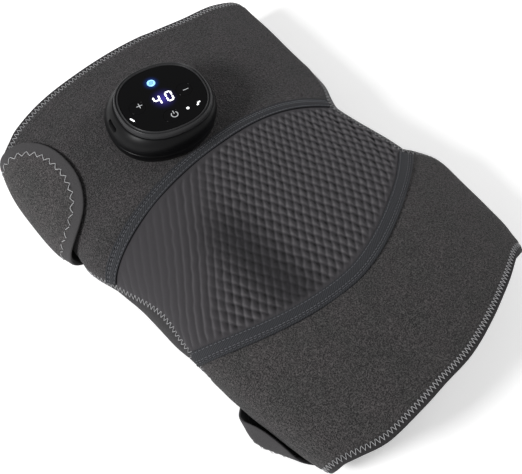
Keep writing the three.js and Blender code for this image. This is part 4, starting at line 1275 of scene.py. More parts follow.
@dataclass
class Wrap:
    """The thigh, knee and calf cloths with their tapes, edge stitching and lining."""

    tube: LegTube
    outline: Outline
    sewing: Sewing
    cloth: float = 3.0
    left_end: float = -1.62
    right_end: float = 1.46
    cloth_step: float = 1.5
    knit_step: float = 0.7
    seam_pull: Pair = (0.55, 7.5)
    pucker: Pair = (0.14, 6.2)
    pucker_place: Pair = (7.0, 4.0)
    hills: tuple[Pair, Pair] = ((0.42, 58), (0.12, 17))
    press_depth: float = 0.75
    press_width: float = 4.0
    wide_border: Place = (7.9, -8.0, 25.0)
    zigzag_inset: float = 3.5
    edge_stitch: Stitch = Stitch(Skin.EDGE_THREAD, 1.35, 3.4, 0.19, 0.24, 0.12)
    seam_stitch: Stitch = Stitch(Skin.DARK_THREAD, 2.3, 0.0, 0.17, 0.14, 0.12, 0.72)
    rib: Pair = (-3.6, -4.6)
    lean: Pair = (1.95, -4.3)
    valley: Pair = (-26.0, 15.0)
    rib_depth: float = 0.9
    valley_depth: float = 2.5
    tape_halves: dict[str, float] = field(default_factory=lambda: {"upper": 2.6, "lower": 3.25})
    tape_raise: float = 0.95
    piping: Pair = (0.2, 1.9)
    tape_trim: float = 6.0
    lining: Pair = (-2.4, -1.2)
    lining_length: float = 278.0
    film: Pair = (-0.9, -0.3)
    film_half: float = 0.7
    film_ends: Pair = (-34.0, 30.0)
    pod_share: float = 0.4
    pod_place: float = -4.0
    pod_opening: float = 15.3

    def flat(self, share: Array, y: Array) -> Array:
        """Return places on the flat cloth."""
        return np.stack([np.asarray(share, float) * self.tube.quarter, np.asarray(y, float)], axis=-1)

    def shares(self, start: float, end: float, step: float) -> Array:
        """Return shares for a cloth's columns, closer together where a cut-out turns.

        Args:
            start: First share.
            end: Last share.
            step: Distance between columns in millimetres.

        Returns:
            Rising shares.
        """
        even = np.arange(start, end, step / self.tube.quarter)
        turns = self.outline.cutout * np.array([0.0, 0.03, 0.07, 0.12, 0.18, 0.25, 0.34, 0.45, 0.6, 0.8, 1.0])
        left, right = self.outline.knee_sides()
        close = np.concatenate([left - turns, right + turns])
        close = close[(close > start) & (close < end)]
        if len(close):
            even = even[np.abs(even[:, None] - close[None]).min(1) > 0.3 / self.tube.quarter]
        inside = np.concatenate([even, close])
        return np.unique(np.concatenate([[start], inside[(inside > start) & (inside < end)], [end]]))

    def open_edges(self) -> list[Array]:
        """Return the open edges on the flat, each with the cloth on its left.

        Returns:
            The thigh's edge, the calf's, the left and right cut-outs, and the ends of the four wings.
        """
        line = self.outline
        left, right = line.knee_sides()
        west = self.shares(self.left_end, left, 2.0)
        east = self.shares(right, self.right_end, 2.0)
        whole = self.shares(self.left_end, self.right_end, 2.0)
        top, cut = self.tube.thigh_edge, line.upper_cutout
        left, right = self.left_end, self.right_end
        left_calf, right_calf = (float(line.calf_edge(np.array(share))) for share in (left, right))
        return [
            self.flat(whole[::-1], line.thigh_edge(whole)[::-1]),
            self.flat(whole, line.calf_edge(whole)),
            np.concatenate(
                [self.flat(west, line.thigh_low(west)), self.flat(west, line.calf_high(west))[::-1]]
            ),
            np.concatenate(
                [self.flat(east, line.calf_high(east))[::-1], self.flat(east, line.thigh_low(east))]
            ),
            self.flat([left, left], [top, cut]),
            self.flat([left, left], [line.lower_cutout[0], left_calf]),
            self.flat([right, right], [cut, top]),
            self.flat([right, right], [right_calf, line.lower_cutout[1]]),
        ]

    def wider(self, share: Array, y: Array) -> Array:
        """Return how much wider the border is at the knee's left side."""
        place, reach = self.wide_border[1:]
        return self.wide_border[0] * np.exp(-(((y - place) / reach) ** 2)) * (share < -0.6)

    def from_open_edge(self, share: Array, y: Array) -> Array:
        """Measure how far places are from the nearest open edge.

        Args:
            share: Shares round the leg.
            y: Lengths along the leg.

        Returns:
            The least distance of each place, on the flat.
        """
        places = self.flat(share, y).reshape(-1, 2)
        least = np.full(len(places), np.inf)
        for edge in self.open_edges():
            least = np.minimum(least, far_from(places, np.concatenate([edge, edge[::-1]])))
        return least.reshape(share.shape)

    def pressed(self, share: Array, y: Array) -> tuple[Array, Array]:
        """Return the press of the stitched border, as height and as a number for the finish.

        Args:
            share: Shares round the leg.
            y: Lengths along the leg.

        Returns:
            The height of the press, and 1 on the border and 0 off it.
        """
        away = self.from_open_edge(share, y) - self.wider(share, y)
        border = 1 - smooth(away, self.press_width - 0.6, self.press_width + 1.4)
        tuck = np.exp(-(((away - self.zigzag_inset) / 1.6) ** 2))
        return -self.press_depth * border - 0.18 * tuck, border

    def pile_form(self, seam: Edge, side: int, seed: int) -> Form:
        """Give the shape of a velour cloth.

        Args:
            seam: The seam that joins it to the knee.
            side: 1 where it lies above the seam, -1 where it lies below.
            seed: Start of its random hills.

        Returns:
            The form for the sheet.
        """

        def form(share: Array, y: Array, away: Array) -> Marks:
            """Press the border, draw the cloth in at the seam and let it lie in gentle hills."""
            u = share * self.tube.quarter
            press, border = self.pressed(share, y)
            off_seam = (y - seam(share)) * side
            at_seam = np.abs(self.outline.turned(share)) < self.outline.knee_edge + 0.02
            depth, reach = self.seam_pull
            pull = -depth * np.exp(-((off_seam / reach) ** 2)) * at_seam
            depth, pitch = self.pucker
            folds = np.sin(u * 2 * math.pi / pitch + slow_waves(u, y, 30, seed + 1) * 2)
            middle, reach = self.pucker_place
            pucker = depth * folds * np.exp(-(((off_seam - middle) / reach) ** 2)) * at_seam
            (large, long), (small, short) = self.hills
            hills = large * slow_waves(u, y, long, seed) + small * slow_waves(u, y, short, seed + 2)
            under = smooth(np.abs(share), 1.12, 1.3)
            return {"height": press + pull + pucker + hills * (1 - border) * (1 - under), "border": border}

        return form

    @staticmethod
    def ridge(phase: Array) -> Array:
        """Return the height of ridges that rise steeply and fall slowly, one for each whole phase."""
        return smooth(phase % 1, 0, 0.3) - smooth(phase % 1, 0.24, 1) - 0.5

    def knit_form(self, share: Array, y: Array, away: Array) -> Marks:
        """Press ribs into the knee cloth, crossed by leaning lines where it takes the knee.

        Args:
            share: Shares round the leg.
            y: Lengths along the leg.
            away: Distance from the cloth's edge.

        Returns:
            The height, and the numbers that the knit's finish reads.
        """
        u = self.outline.turned(share) * self.tube.quarter
        (rib_u, rib_v), (lean_u, lean_v) = self.rib, self.lean
        area = lean_u * rib_v - rib_u * lean_v
        bend = 0.5 * slow_waves(u, y, 70, 31)
        wobble = 0.07 * slow_waves(u, y, 9, 37)
        rib = (u * rib_v - y * rib_u) / area + 0.25 * bend + wobble
        lean = (u * lean_v - y * lean_u) / area + 0.15 * bend + wobble
        press, border = self.pressed(share, y)
        middle, reach = self.valley
        valley = np.exp(-(((u - middle) / reach) ** 2)) * smooth(-y, -26, 10)
        ribbed = 0.22 + 0.78 * smooth(rib, -15.0, -4.0)
        crossed = smooth(rib, -9.5, -3.0) * (1 - 0.2 * valley)
        worn = 0.85 + 0.15 * slow_waves(u, y, 11, 35)
        inside = smooth(away, 2.5, 7.0) * (1 - border)
        ribbed, crossed = ribbed * worn * inside, crossed * worn * inside
        gathers = 0.35 * np.sin(rib * math.pi * 0.9) * smooth(u, 62, 84) * smooth(away, 4, 12)
        height = press + self.rib_depth * (self.ridge(rib) * ribbed + self.ridge(lean) * crossed)
        height += gathers - self.valley_depth * valley * smooth(away, 2, 14)
        height += 0.3 * slow_waves(u, y, 46, 33) * (1 - border)
        seams = np.minimum(self.outline.knee_high(share) - y, y - self.outline.knee_low(share))
        height -= 0.35 * np.exp(-((seams / 6.0) ** 2))
        # shade marks the valley, which the knit's finish darkens with painted shade.
        marks = {"rib": rib, "lean": lean, "ribbed": ribbed, "crossed": crossed, "shade": valley * inside}
        return {"height": height, "border": border, **marks}

    def velours(self) -> list[Piece]:
        """Make the thigh and calf cloths, each with its two wings."""
        line = self.outline
        columns = self.shares(self.left_end, self.right_end, self.cloth_step)
        thigh, calf = self.pile_form(line.upper_seam, 1, 3), self.pile_form(line.lower_seam, -1, 8)
        plans = (
            ("thigh_velour", line.thigh_low, line.thigh_edge, thigh, Skin.VELOUR, "upper"),
            ("calf_velour", line.calf_edge, line.calf_high, calf, Skin.CALF_VELOUR, "lower"),
        )
        made = []
        for name, low, high, form, skin, side in plans:
            sheet = Sheet(self.tube, name, columns, low, high, level(0.0), level(self.cloth), self.cloth_step)
            piece, area = sheet.build([skin, Skin.BACKING], form)
            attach(piece, "wrap")
            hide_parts(f"{side}_left_wing", f"{side}_right_wing", f"{side}_front_panel")
            reach = float((high(columns) - low(columns)).max()) * MM
            made.append(piece)
        return made

    def knee(self) -> tuple[Piece, float]:
        """Make the knit knee cloth, and give its flat area too."""
        line = self.outline
        left, right = line.knee_sides()
        columns = np.append(np.arange(left, right, self.knit_step / self.tube.quarter), right)
        edges = line.knee_low, line.knee_high
        sheet = Sheet(self.tube, "knee_knit", columns, *edges, level(0.0), level(self.cloth), self.knit_step)
        piece, area = sheet.build([Skin.KNIT, Skin.BACKING], self.knit_form)
        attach(piece, "wrap")
        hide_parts("knee_panel")
        return piece, area

    def seam_row(self, seam: Edge) -> Array:
        """Return a seam's line on the flat, without the ends that the edge stitching covers."""
        left, right = self.outline.knee_sides()
        trim = self.tape_trim / self.tube.quarter
        share = np.linspace(left + trim, right - trim, 220)
        return self.flat(share, seam(share))

    def ribbon(self, name: str, row: Array, profile: Array, skin: Skin, deep: Sequence[int] = ()) -> Piece:
        """Lay a narrow strip along a row.

        Args:
            name: The piece's name.
            row: The row on the flat.
            profile: Closed cross-section, as distance to the row's left and height over the cloth.
            skin: Its finish.
            deep: Which corners of the cross-section lie deep in a groove and take painted shade.

        Returns:
            The strip as one closed piece.
        """
        across = row[:, None, :] + leftwards(row)[:, None, :] * profile[None, :, :1]
        share, y = across[..., 0] / self.tube.quarter, across[..., 1]
        points = self.tube.point(share, y, self.cloth + np.broadcast_to(profile[None, :, 1], y.shape))
        rounds, count = len(row), len(profile)
        piece = Maker.piece(name, points.reshape(-1, 3), capped_faces(rounds, count), [skin])
        places = np.stack(np.broadcast_arrays(lengths(row)[:, None], profile[None, :, 0]), axis=-1)
        Maker.lay_flat(piece, places.reshape(-1, 2))
        Maker.keep(piece, "deep", np.tile(np.isin(np.arange(count), deep), rounds))
        Maker.tidy(piece)
        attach(piece, "wrap")
        return piece

    def tapes(self) -> list[Piece]:
        """Make the two seam tapes, with a stitched groove at each edge and piping beside them."""
        made = []
        for side, seam, sign in (
            ("upper", self.outline.upper_seam, 1), ("lower", self.outline.lower_seam, -1)
        ):
            half, top = self.tape_halves[side], self.tape_raise
            groove = half - 1.05
            edge = [
                (-half, -0.1), (-half, 0.45), (-half + 0.18, 0.75), (-half + 0.5, 0.84),
                (-groove - 0.25, 0.78), (-groove, 0.52), (-groove + 0.25, 0.8),
            ]
            profile = np.array(
                [*edge, (-half * 0.3, top), (half * 0.3, top), *((-a, h) for a, h in edge[::-1])]
            )
            low, high = (half + gap for gap in self.piping)
            turns = np.linspace(math.pi, 0, 9)
            across = (low + high) / 2 + (high - low) / 2 * np.cos(turns)
            round_pipe = np.stack([across, 0.95 * np.sin(turns)], axis=-1)
            pipe = np.concatenate([[[low, -0.5]], round_pipe, [[high, -0.5]]])
            row = self.seam_row(seam)
            # The deep corners of the tape and of the piping take painted shade.
            tape = self.ribbon(f"{side}_tape", row, profile, Skin.TAPE, (0, 1, 5, 10, 14, 15))
            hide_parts(f"{side}_seam_tape")
            cord = self.ribbon(
                f"{side}_tape_piping", row, pipe * np.array([sign, 1]), Skin.TAPE, (0, 1, 9, 10)
            )
            rows = [inset(row, groove), inset(row, -groove), inset(row, (half + low) / 2 * sign)]
            threads = self.sewing.sew(f"{side}_tape_stitches", rows, self.seam_stitch, self.cloth + 0.58)
            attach(threads, "wrap")
            made += [tape, cord, threads]
        return made

    def edge_stitches(self) -> Piece:
        """Sew the zigzag along every open edge."""
        rows = []
        for edge in self.open_edges():
            row = even_row(edge)
            wider = self.wider(row[:, 0] / self.tube.quarter, row[:, 1])
            rows.append(inset(row, self.zigzag_inset + wider[:, None]))
        height = self.cloth - self.press_depth * 0.6 - 0.05
        threads = self.sewing.sew("edge_zigzag", rows, self.edge_stitch, height, trim=self.zigzag_inset)
        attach(threads, "wrap")
        return threads

    def open_for_pods(self, piece: Piece) -> None:
        """Cut a round opening for each massage pod.

        Args:
            piece: The lining or the film.
        """
        for side in (-1, 1):
            place = self.outline.turn + side * self.pod_share, self.pod_place, 0.0
            turn = Vector(self.tube.outward(*place)).to_track_quat("Z", "Y").to_matrix().to_4x4()
            turn.translation = Vector(self.tube.point(*place)) * MM
            drill, work, radius = bpy.data.meshes.new("pod_opening"), bmesh.new(), self.pod_opening * MM
            size = {"radius1": radius, "radius2": radius, "depth": 16 * MM}
            bmesh.ops.create_cone(work, cap_ends=True, segments=64, matrix=turn, **size)
            work.to_mesh(drill)
            work.free()
            Maker.cut(piece, add("pod_opening", drill))

    def heating_film(self) -> Piece:
        """Make the heating film between the cloth and the lining."""
        low, high = self.film_ends
        middle, step = self.outline.turn, 3.0
        columns = np.arange(middle - self.film_half, middle + self.film_half, step / self.tube.quarter)
        edges, faces = (level(low), level(high)), map(level, self.film)
        near = (0.0, 0.1, 0.3)
        sheet = Sheet(self.tube, "heating_film_strip", columns, *edges, *faces, step, near_edge=near)
        piece, area = sheet.build([Skin.FOIL], plain)
        self.open_for_pods(piece)
        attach(piece, "wrap")
        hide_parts("heating_film")
        return piece

    def inner_lining(self) -> Piece:
        """Make the plush lining with a round opening for each massage pod."""
        reach = self.outline.knee_edge - self.cloth / self.tube.quarter
        step = 2.4
        columns = np.arange(self.outline.turn - reach, self.outline.turn + reach, step / self.tube.quarter)
        sheet = Sheet(
            self.tube,
            "plush_lining",
            columns,
            lambda s: self.outline.calf_edge(s) + self.cloth,
            lambda s: self.outline.thigh_edge(s) - self.cloth,
            *map(level, self.lining),
            step,
        )

        def tufts(share: Array, y: Array, away: Array) -> Marks:
            """Let the pile stand out of the inner face in tufts."""
            hills = 1 + slow_waves(share * self.tube.quarter, y, 14, 21)
            return {"height": np.zeros(share.shape), "inner": -0.35 * hills * smooth(away, 1, 5)}

        piece, area = sheet.build([Skin.PLUSH], tufts)
        self.open_for_pods(piece)
        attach(piece, "wrap")
        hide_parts("inner_lining")
        return piece

    def build(self) -> None:
        """Make every piece of the wrap and report it."""
        velours = self.velours()
        knee, area = self.knee()
        tapes = self.tapes()
        edge = self.edge_stitches()
        left, right = self.outline.knee_sides()
        lining, film = self.inner_lining(), self.heating_film()
        for piece in (*velours, knee, *tapes, edge, lining, film):
            Maker.report(piece)


# Straps


@dataclass
class Strap:
    """One strap with its tab: it crosses the back, folds up the left side and ends in a rounded tip."""

    tube: LegTube
    sewing: Sewing
    side: str
    low: float
    high: float
    fold: float
    tip: float
    bend: tuple[Place, Place]
    slack: float
    start: float = 1.3
    taper: float = 0.0
    inner: float = 3.3
    outer: float = 6.3
    tab_thickness: float = 2.0
    power: float = 2.2
    border: float = 5.6
    press: float = 0.45
    step: float = 1.4
    pad: Pair = (3.3, 4.0)
    pad_inset: float = 6.0
    slack_shares: Place = (2.76, 2.96, 3.24)
    slack_along: Points = ((0, -0.25), (0.3, 0.65), (0.6, 0.88), (0.84, 0.8), (1, 0.35))
    tab_stitch: Stitch = Stitch(Skin.TAB_THREAD, 2.7, 2.5, 0.2, 0.26, 0.12)
    box_stitch: Stitch = Stitch(Skin.EDGE_THREAD, 2.4, 0.0, 0.22, 0.2, 0.12, 0.75)
    hook: Stitch = Stitch(Skin.HOOKS, 1.7, 0.9, 0.11, 0.16, 0.05, 0.4)

    def lift(self, share: Array, y: Array) -> Array:
        """Return how far the slack strap stands away sideways.

        Args:
            share: Shares round the leg.
            y: Lengths along the leg.

        Returns:
            The distance at each place.
        """
        start, most, end = self.slack_shares
        turn = np.where(share < most, (share - start) / (most - start), (end - share) / (end - most))
        along = np.clip((self.high - y) / (self.high - self.low), 0, 1)
        return self.slack * np.interp(along, *np.array(eased(self.slack_along, 6)).T) * smooth(turn, 0, 1)

    @property
    def middle(self) -> float:
        """Length along the leg of the strap's middle line."""
        return (self.low + self.high) / 2

    def tab(self, drawn_in: float) -> Pair:
        """Return the shares of the fold and the tip, drawn in by a distance."""
        return self.fold + drawn_in / self.tube.quarter, self.tip - drawn_in / self.tube.quarter

    def half(self, share: Array, drawn_in: float = 0.0) -> Array:
        """Return half the width, which shrinks to nothing at the rounded tip."""
        start, end = self.tab(drawn_in)
        t = np.clip((share - start) / (end - start), 0, 1)
        return ((self.high - self.low) / 2 - drawn_in) * (1 - t**self.power) ** (1 / self.power)

    def low_edge(self, share: Array) -> Array:
        """Lower long edge, which is drawn in where the strap starts."""
        drawn = self.taper * (1 - smooth(share, self.start, 2.0))
        return self.middle - self.half(share) + drawn

    def columns(self, start: float, drawn_in: float = 0.0) -> Array:
        """Return shares for the columns, closer together towards the tip.

        Args:
            start: First share.
            drawn_in: Distance that the fold and the tip are drawn in.

        Returns:
            Rising shares.
        """
        first, end = self.tab(drawn_in)
        even = np.arange(start, first, self.step / self.tube.quarter) if start < first else np.array([])
        turns = np.sin(np.linspace(0, math.pi / 2, 46)) ** (2 / self.power)
        return np.unique(np.concatenate([even, first + (end - first) * turns]))

    def outline(self, drawn_in: float) -> Array:
        """Return the strap's long edges and tip on the flat, drawn in, from one end round to the other."""
        shares = self.columns(self.start)
        low = np.stack([shares * self.tube.quarter, self.low_edge(shares)], axis=-1)
        high = np.stack([shares * self.tube.quarter, self.middle + self.half(shares)], axis=-1)
        return inset(even_row(np.concatenate([low, high[::-1]]), 0.8), drawn_in)

    def rides(self, piece: Piece) -> None:
        """Bake a piece's place into its mesh; the fold's two ends are worked out, but the piece does not bend
        with them.
        """
        start, end = (tuple(c * MM for c in place) for place in self.bend)
        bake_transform(piece)
        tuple(start)
        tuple(end)

    def cloth(self) -> Piece:
        """Make the strap and its tab as one cloth."""
        thinner = self.outer - self.tab_thickness - self.inner

        def form(share: Array, y: Array, away: Array) -> Marks:
            """Press the smooth border and let the pile stand between."""
            border = 1 - smooth(away, self.border - 0.8, self.border + 0.8)
            tuck = np.exp(-(((away - self.border - 0.9) / 1.3) ** 2))
            u = share * self.tube.quarter
            hills = -0.12 * (1 + slow_waves(u, y, 26, 17)) * (1 - border)
            return {"height": -self.press * border - 0.25 * tuck + hills, "border": border}

        sheet = Sheet(
            self.tube,
            f"{self.side}_strap_cloth",
            self.columns(self.start),
            self.low_edge,
            lambda s: self.middle + self.half(s),
            lambda s: self.inner + thinner * smooth(s, self.fold - 0.06, self.fold + 0.04),
            level(self.outer),
            self.step,
            self.lift,
        )
        piece, area = sheet.build([Skin.STRAP_VELOUR, Skin.BACKING], form)
        self.rides(piece)
        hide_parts(f"{self.side}_strap", f"{self.side}_strap_tab")
        threads = self.threads()
        return piece

    def threads(self) -> list[Piece]:
        """Sew the zigzag inside the border, and the seam that joins the strap to the wing."""
        row, height = self.outline(self.border + 0.9), self.outer - 0.25
        zigzag = self.sewing.sew(f"{self.side}_tab_zigzag", [row], self.tab_stitch, height, 2.0, self.lift)
        first, last = (self.start * self.tube.quarter + along for along in (4, 15))
        low, high = self.low + self.taper + 8, self.high - 8
        corners = np.array(
            [[first, low], [last, low], [last, high], [first, high], [first, low], [last, high]]
        )
        row, height = even_row(corners, 1.0), self.outer - 0.15
        box = self.sewing.sew(f"{self.side}_strap_box_seam", [row], self.box_stitch, height)
        self.rides(zigzag)
        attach(box, "wrap")
        return [zigzag, box]

    def hook_pad(self) -> Piece:
        """Make the hook cloth under the tab, with its rows of hooks."""
        quarter, middle = self.tube.quarter, self.middle
        first = self.fold + (self.pad_inset + 0.15) / quarter
        sheet = Sheet(
            self.tube,
            f"{self.side}_hook_cloth",
            self.columns(first, self.pad_inset),
            lambda s: middle - self.half(s, self.pad_inset),
            lambda s: middle + self.half(s, self.pad_inset),
            *map(level, self.pad),
            1.8,
            self.lift,
            (0.0, 0.12, 0.35),
        )
        piece, area = sheet.build([Skin.HOOK], plain)
        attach(piece, f"{self.side}_tab")
        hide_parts(f"{self.side}_hook_pad")
        rows = []
        end = self.tip - self.pad_inset / quarter
        for share in np.arange(first + 0.018, end - 0.012, 1.9 / quarter):
            reach = float(self.half(np.array(share), self.pad_inset)) - 1.6
            if reach > 1.5:
                rows.append(np.array([[share * quarter, middle - reach], [share * quarter, middle + reach]]))
        name, height = f"{self.side}_hooks", self.pad[0] + 0.02
        hooks = self.sewing.sew(name, rows, self.hook, height, 0.0, self.lift, inwards=True)
        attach(hooks, f"{self.side}_tab")
        size = ((self.high - self.low - 2 * self.pad_inset) * MM, (end - first) * quarter * MM)
        area, under = min(area, size[0] * size[1]), f"{self.side}_strap_cloth"
        return piece

    def build(self) -> None:
        """Make the strap and its hook cloth, and report them."""
        Maker.report(self.cloth())
        Maker.report(self.hook_pad())


# Control unit


def oval(across: float, along: float, power: float, sides: int) -> Array:
    """Return the corners of a rounded oval on the plan.

    Args:
        across: Half its width.
        along: Half its length.
        power: Its squareness, 2 for an ellipse.
        sides: Number of corners.

    Returns:
        Rows of X and Y.
    """
    turn = np.linspace(0, 2 * math.pi, sides, endpoint=False)
    c, s = np.cos(turn), np.sin(turn)
    x = across * np.sign(c) * np.abs(c) ** (2 / power)
    y = along * np.sign(s) * np.abs(s) ** (2 / power)
    return np.stack([x, y], axis=-1)


@dataclass
class ControlUnit:
    """The moulded control unit on the thigh, with its ridged rim, glass, keys, lit signs and a painted
    highlight on the glass.
    """

    tube: LegTube
    middle: Place = (-13.026, 77.856, 50.163)
    cloth: float = 3.0
    turn_degrees: float = -15.0
    half: Pair = (31.4, 29.7)
    power: float = 2.15
    base_inset: float = 3.0
    parting: float = 7.0
    wall: float = 2.0
    shoulder: float = 3.6
    low_shift: Pair = (-1.0, 0.5)
    top_shift: Pair = (1.3, -0.7)
    edge_bevel: float = 0.12
    shelf_reach: Pair = (3.1, 7.5)
    skirt: Pair = (2.3, 3.3)
    skirt_depth: float = 2.0
    floor_top: float = 2.5
    shelf_under: float = 16.6
    shelf_top: float = 17.8
    rim_under: float = 18.1
    ledge_top: float = 19.5
    top: float = 21.5
    glass_half: Pair = (24.1, 22.5)
    glass_power: float = 2.3
    glass_under: float = 19.8
    glass_top: float = 21.0
    sides: int = 168
    number_shift: Pair = (1.4, -1.4)
    key_radius: float = 4.5
    key_gap: float = 0.08
    key_stem: float = 1.5
    key_flange: float = 0.7
    key_levels: tuple[float, ...] = (18.0, 18.8, 19.5, 20.94)
    key_bevel: float = 0.06
    key_sides: int = 64
    keys: dict[str, Pair] = field(
        default_factory=lambda: {
            "plus": (-14.291, -1.0125), "minus": (14.291, -1.0125), "power": (0.0, -14.7375)
        }
    )
    socket_height: float = 13.65
    mouth: Pair = (9.3, 2.5)
    digit_size: Pair = (4.2, 7.4)
    digit_stroke: float = 0.98
    digit_gap: float = 0.12
    digit_lean: float = 0.05
    digit_place: float = 3.6
    sign_stroke: float = 0.42
    round_sign: Place = (0.0, 11.8, 2.4)
    proud: float = 0.05

    def world(self, points: Array) -> Array:
        """Place points of the unit on the wrap.

        Args:
            points: Places in the unit's own frame.

        Returns:
            The same places in the wrap's frame.
        """
        turn = math.radians(self.turn_degrees)
        c, s = math.cos(turn), math.sin(turn)
        x = self.middle[0] + points[..., 0] * c - points[..., 1] * s
        y = self.middle[1] + points[..., 0] * s + points[..., 1] * c
        return np.stack([x, y, self.middle[2] + points[..., 2]], axis=-1)

    def leaned(self, points: Array) -> Array:
        """Shift points sideways from the low shift at the parting to the top one at the rim."""
        share = np.clip((points[..., 2:] - self.parting) / (self.rim_under - self.parting), 0, 1)
        shift = np.array(self.low_shift) * (1 - share) + np.array(self.top_shift) * share
        return np.concatenate([points[..., :2] + shift, points[..., 2:]], axis=-1)

    def line(self, across: float, along: float, power: float, height: float) -> Array:
        """Return an oval line round the unit at a height."""
        return np.concatenate(
            [oval(across, along, power, self.sides), np.full((self.sides, 1), height)], axis=1
        )

    def ring(self, name: str, profile: Sequence[Place], power: float, skin: Skin) -> Piece:
        """Loft a closed ring.

        Args:
            name: The piece's name.
            profile: Half widths and height of each line round the ring, closing on itself.
            power: Squareness of the oval.
            skin: Its finish.

        Returns:
            The ring.
        """
        points = np.stack([self.line(a, b, power, z) for a, b, z in profile], axis=1)
        places = self.world(self.leaned(points.reshape(-1, 3)))
        piece = Maker.piece(name, places, ring_faces(self.sides, len(profile)), [skin])
        Maker.tidy(piece)
        return piece

    def grown(self, extra: float) -> Pair:
        """Return the body's half widths with something added."""
        return self.half[0] + extra, self.half[1] + extra

    def under(self, part: float) -> Pair:
        """Return half widths inside the foot, which are a part of the body's."""
        return self.half[0] * part - self.base_inset, self.half[1] * part - self.base_inset

    def lower_housing(self) -> Piece:
        """Make the dish, whose foot follows the curve of the cloth under it."""
        rise = np.linspace(0, 1, 15)
        wall = [(*self.grown(-self.base_inset * (1 - q) ** 2.05), self.parting * q, q) for q in rise]
        foot = [(*self.under(part), 0.0, 0.0) for part in (0.16, 0.3, 0.5, 0.7, 0.88, 0.97)]
        bevel = self.edge_bevel
        lip = [(*self.grown(-width), self.parting + bevel, 1.0) for width in (bevel, self.wall)]
        low = self.floor_top
        inside = [(*self.grown(-self.wall), low + 2.2, 1.0), (*self.grown(-self.base_inset - 1.5), low, 1.0)]
        profile = [*foot, *wall, *lip, *inside, (*self.under(0.16), low, 1.0)]
        lines = [self.line(a, b, self.power, z) for a, b, z, _ in profile]
        points = self.world(self.leaned(np.stack(lines, axis=1)))
        for k, (_, _, z, share) in enumerate(profile):
            if share < 1:
                for point in points[:, k]:
                    rest = self.tube.height(point[0], point[1], self.cloth) - 0.25
                    point[2] = rest + (self.middle[2] + self.parting - rest) * (z / self.parting)
        faces = ring_faces(self.sides, len(profile))
        piece = Maker.piece("lower_housing_shell", points.reshape(-1, 3), faces, [Skin.BODY])
        Maker.tidy(piece)
        Maker.crisp(piece)
        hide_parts("lower_housing")
        return piece

    def upper_housing(self) -> Piece:
        """Make the upper shell with its rounded shoulder and the socket's mouth."""
        low = self.parting + 0.3
        side = self.shelf_top - 0.35 - low
        brow = [(-self.shoulder - 0.1, self.shelf_top + 0.05), (-self.shoulder - 0.35, self.shelf_top + 0.12)]
        outer, inner = self.shelf_reach
        shelf = [(-outer, self.shelf_top), (-inner, self.shelf_top), (-inner, self.shelf_under)]
        inside = [(-self.shoulder * q**2.6 - self.wall, low + side * q) for q in (0.85, 0.5)]
        near, far = self.skirt
        foot, bevel = low - self.skirt_depth, self.edge_bevel
        skirt = [(-far, low + 1.0), (-far, foot), (-near, foot), (-near, low - bevel)]
        wall = [(-self.shoulder * q**2.6, low + side * q) for q in np.linspace(0, 1, 20)]
        profile = [
            (*self.grown(x), z) for x, z in [(-bevel, low - bevel), *wall, *brow, *shelf, *inside, *skirt]
        ]
        piece = self.ring("upper_housing_shell", profile, self.power, Skin.BODY)
        self.cut_mouth(piece)
        Maker.crisp(piece)
        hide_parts("upper_housing")
        return piece

    def slot_outline(self, extra: float) -> Array:
        """Return the rounded slot of the socket's mouth as places along and up."""
        wide, high = self.mouth[0] / 2 + extra, self.mouth[1] / 2 + extra
        turns = np.linspace(-math.pi / 2, math.pi / 2, 12)
        right = np.stack([wide - high + high * np.cos(turns), high * np.sin(turns)], axis=-1)
        return np.concatenate([right, -right])

    def cut_mouth(self, piece: Piece) -> None:
        """Cut the socket's mouth, with a small lead-in, through the left flank.

        Args:
            piece: The upper shell.
        """
        rings = []
        for depth, extra in ((-3, 0.2), (0.95, 0.15), (1.15, 0.0), (9, 0.0)):
            slot = self.slot_outline(extra)
            x = np.full(len(slot), depth - self.half[0])
            rings.append(np.stack([x, slot[:, 0], slot[:, 1] + self.socket_height], axis=-1))
        faces = capped_faces(len(rings), len(rings[0]))
        tool = Maker.piece("mouth_cutter", self.world(np.concatenate(rings)), faces, [Skin.BODY])
        Maker.tidy(tool)
        Maker.cut(piece, tool)

    def rim(self) -> Piece:
        """Make the rim with its two ridges."""
        ridges = (
            (0.25, 21.0), (0.55, 21.5), (0.95, 21.15), (1.35, 20.35), (1.75, 20.9), (2.1, 21.2),
            (2.55, 20.75), (2.95, 19.8), (3.1, 18.9),
        )
        under = ((3.1, self.rim_under), (-1.4, self.rim_under), (-1.4, self.ledge_top))
        section = [(0.25, self.ledge_top), *eased(ridges, 5), *under]
        profile = [(self.glass_half[0] + extra, self.glass_half[1] + extra, z) for extra, z in section]
        # The rim's grey is partly painted light.
        piece = self.ring("rim_ring_ridged", profile, self.glass_power, Skin.RIM)
        Maker.crisp(piece, 40)
        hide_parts("rim_ring")
        return piece

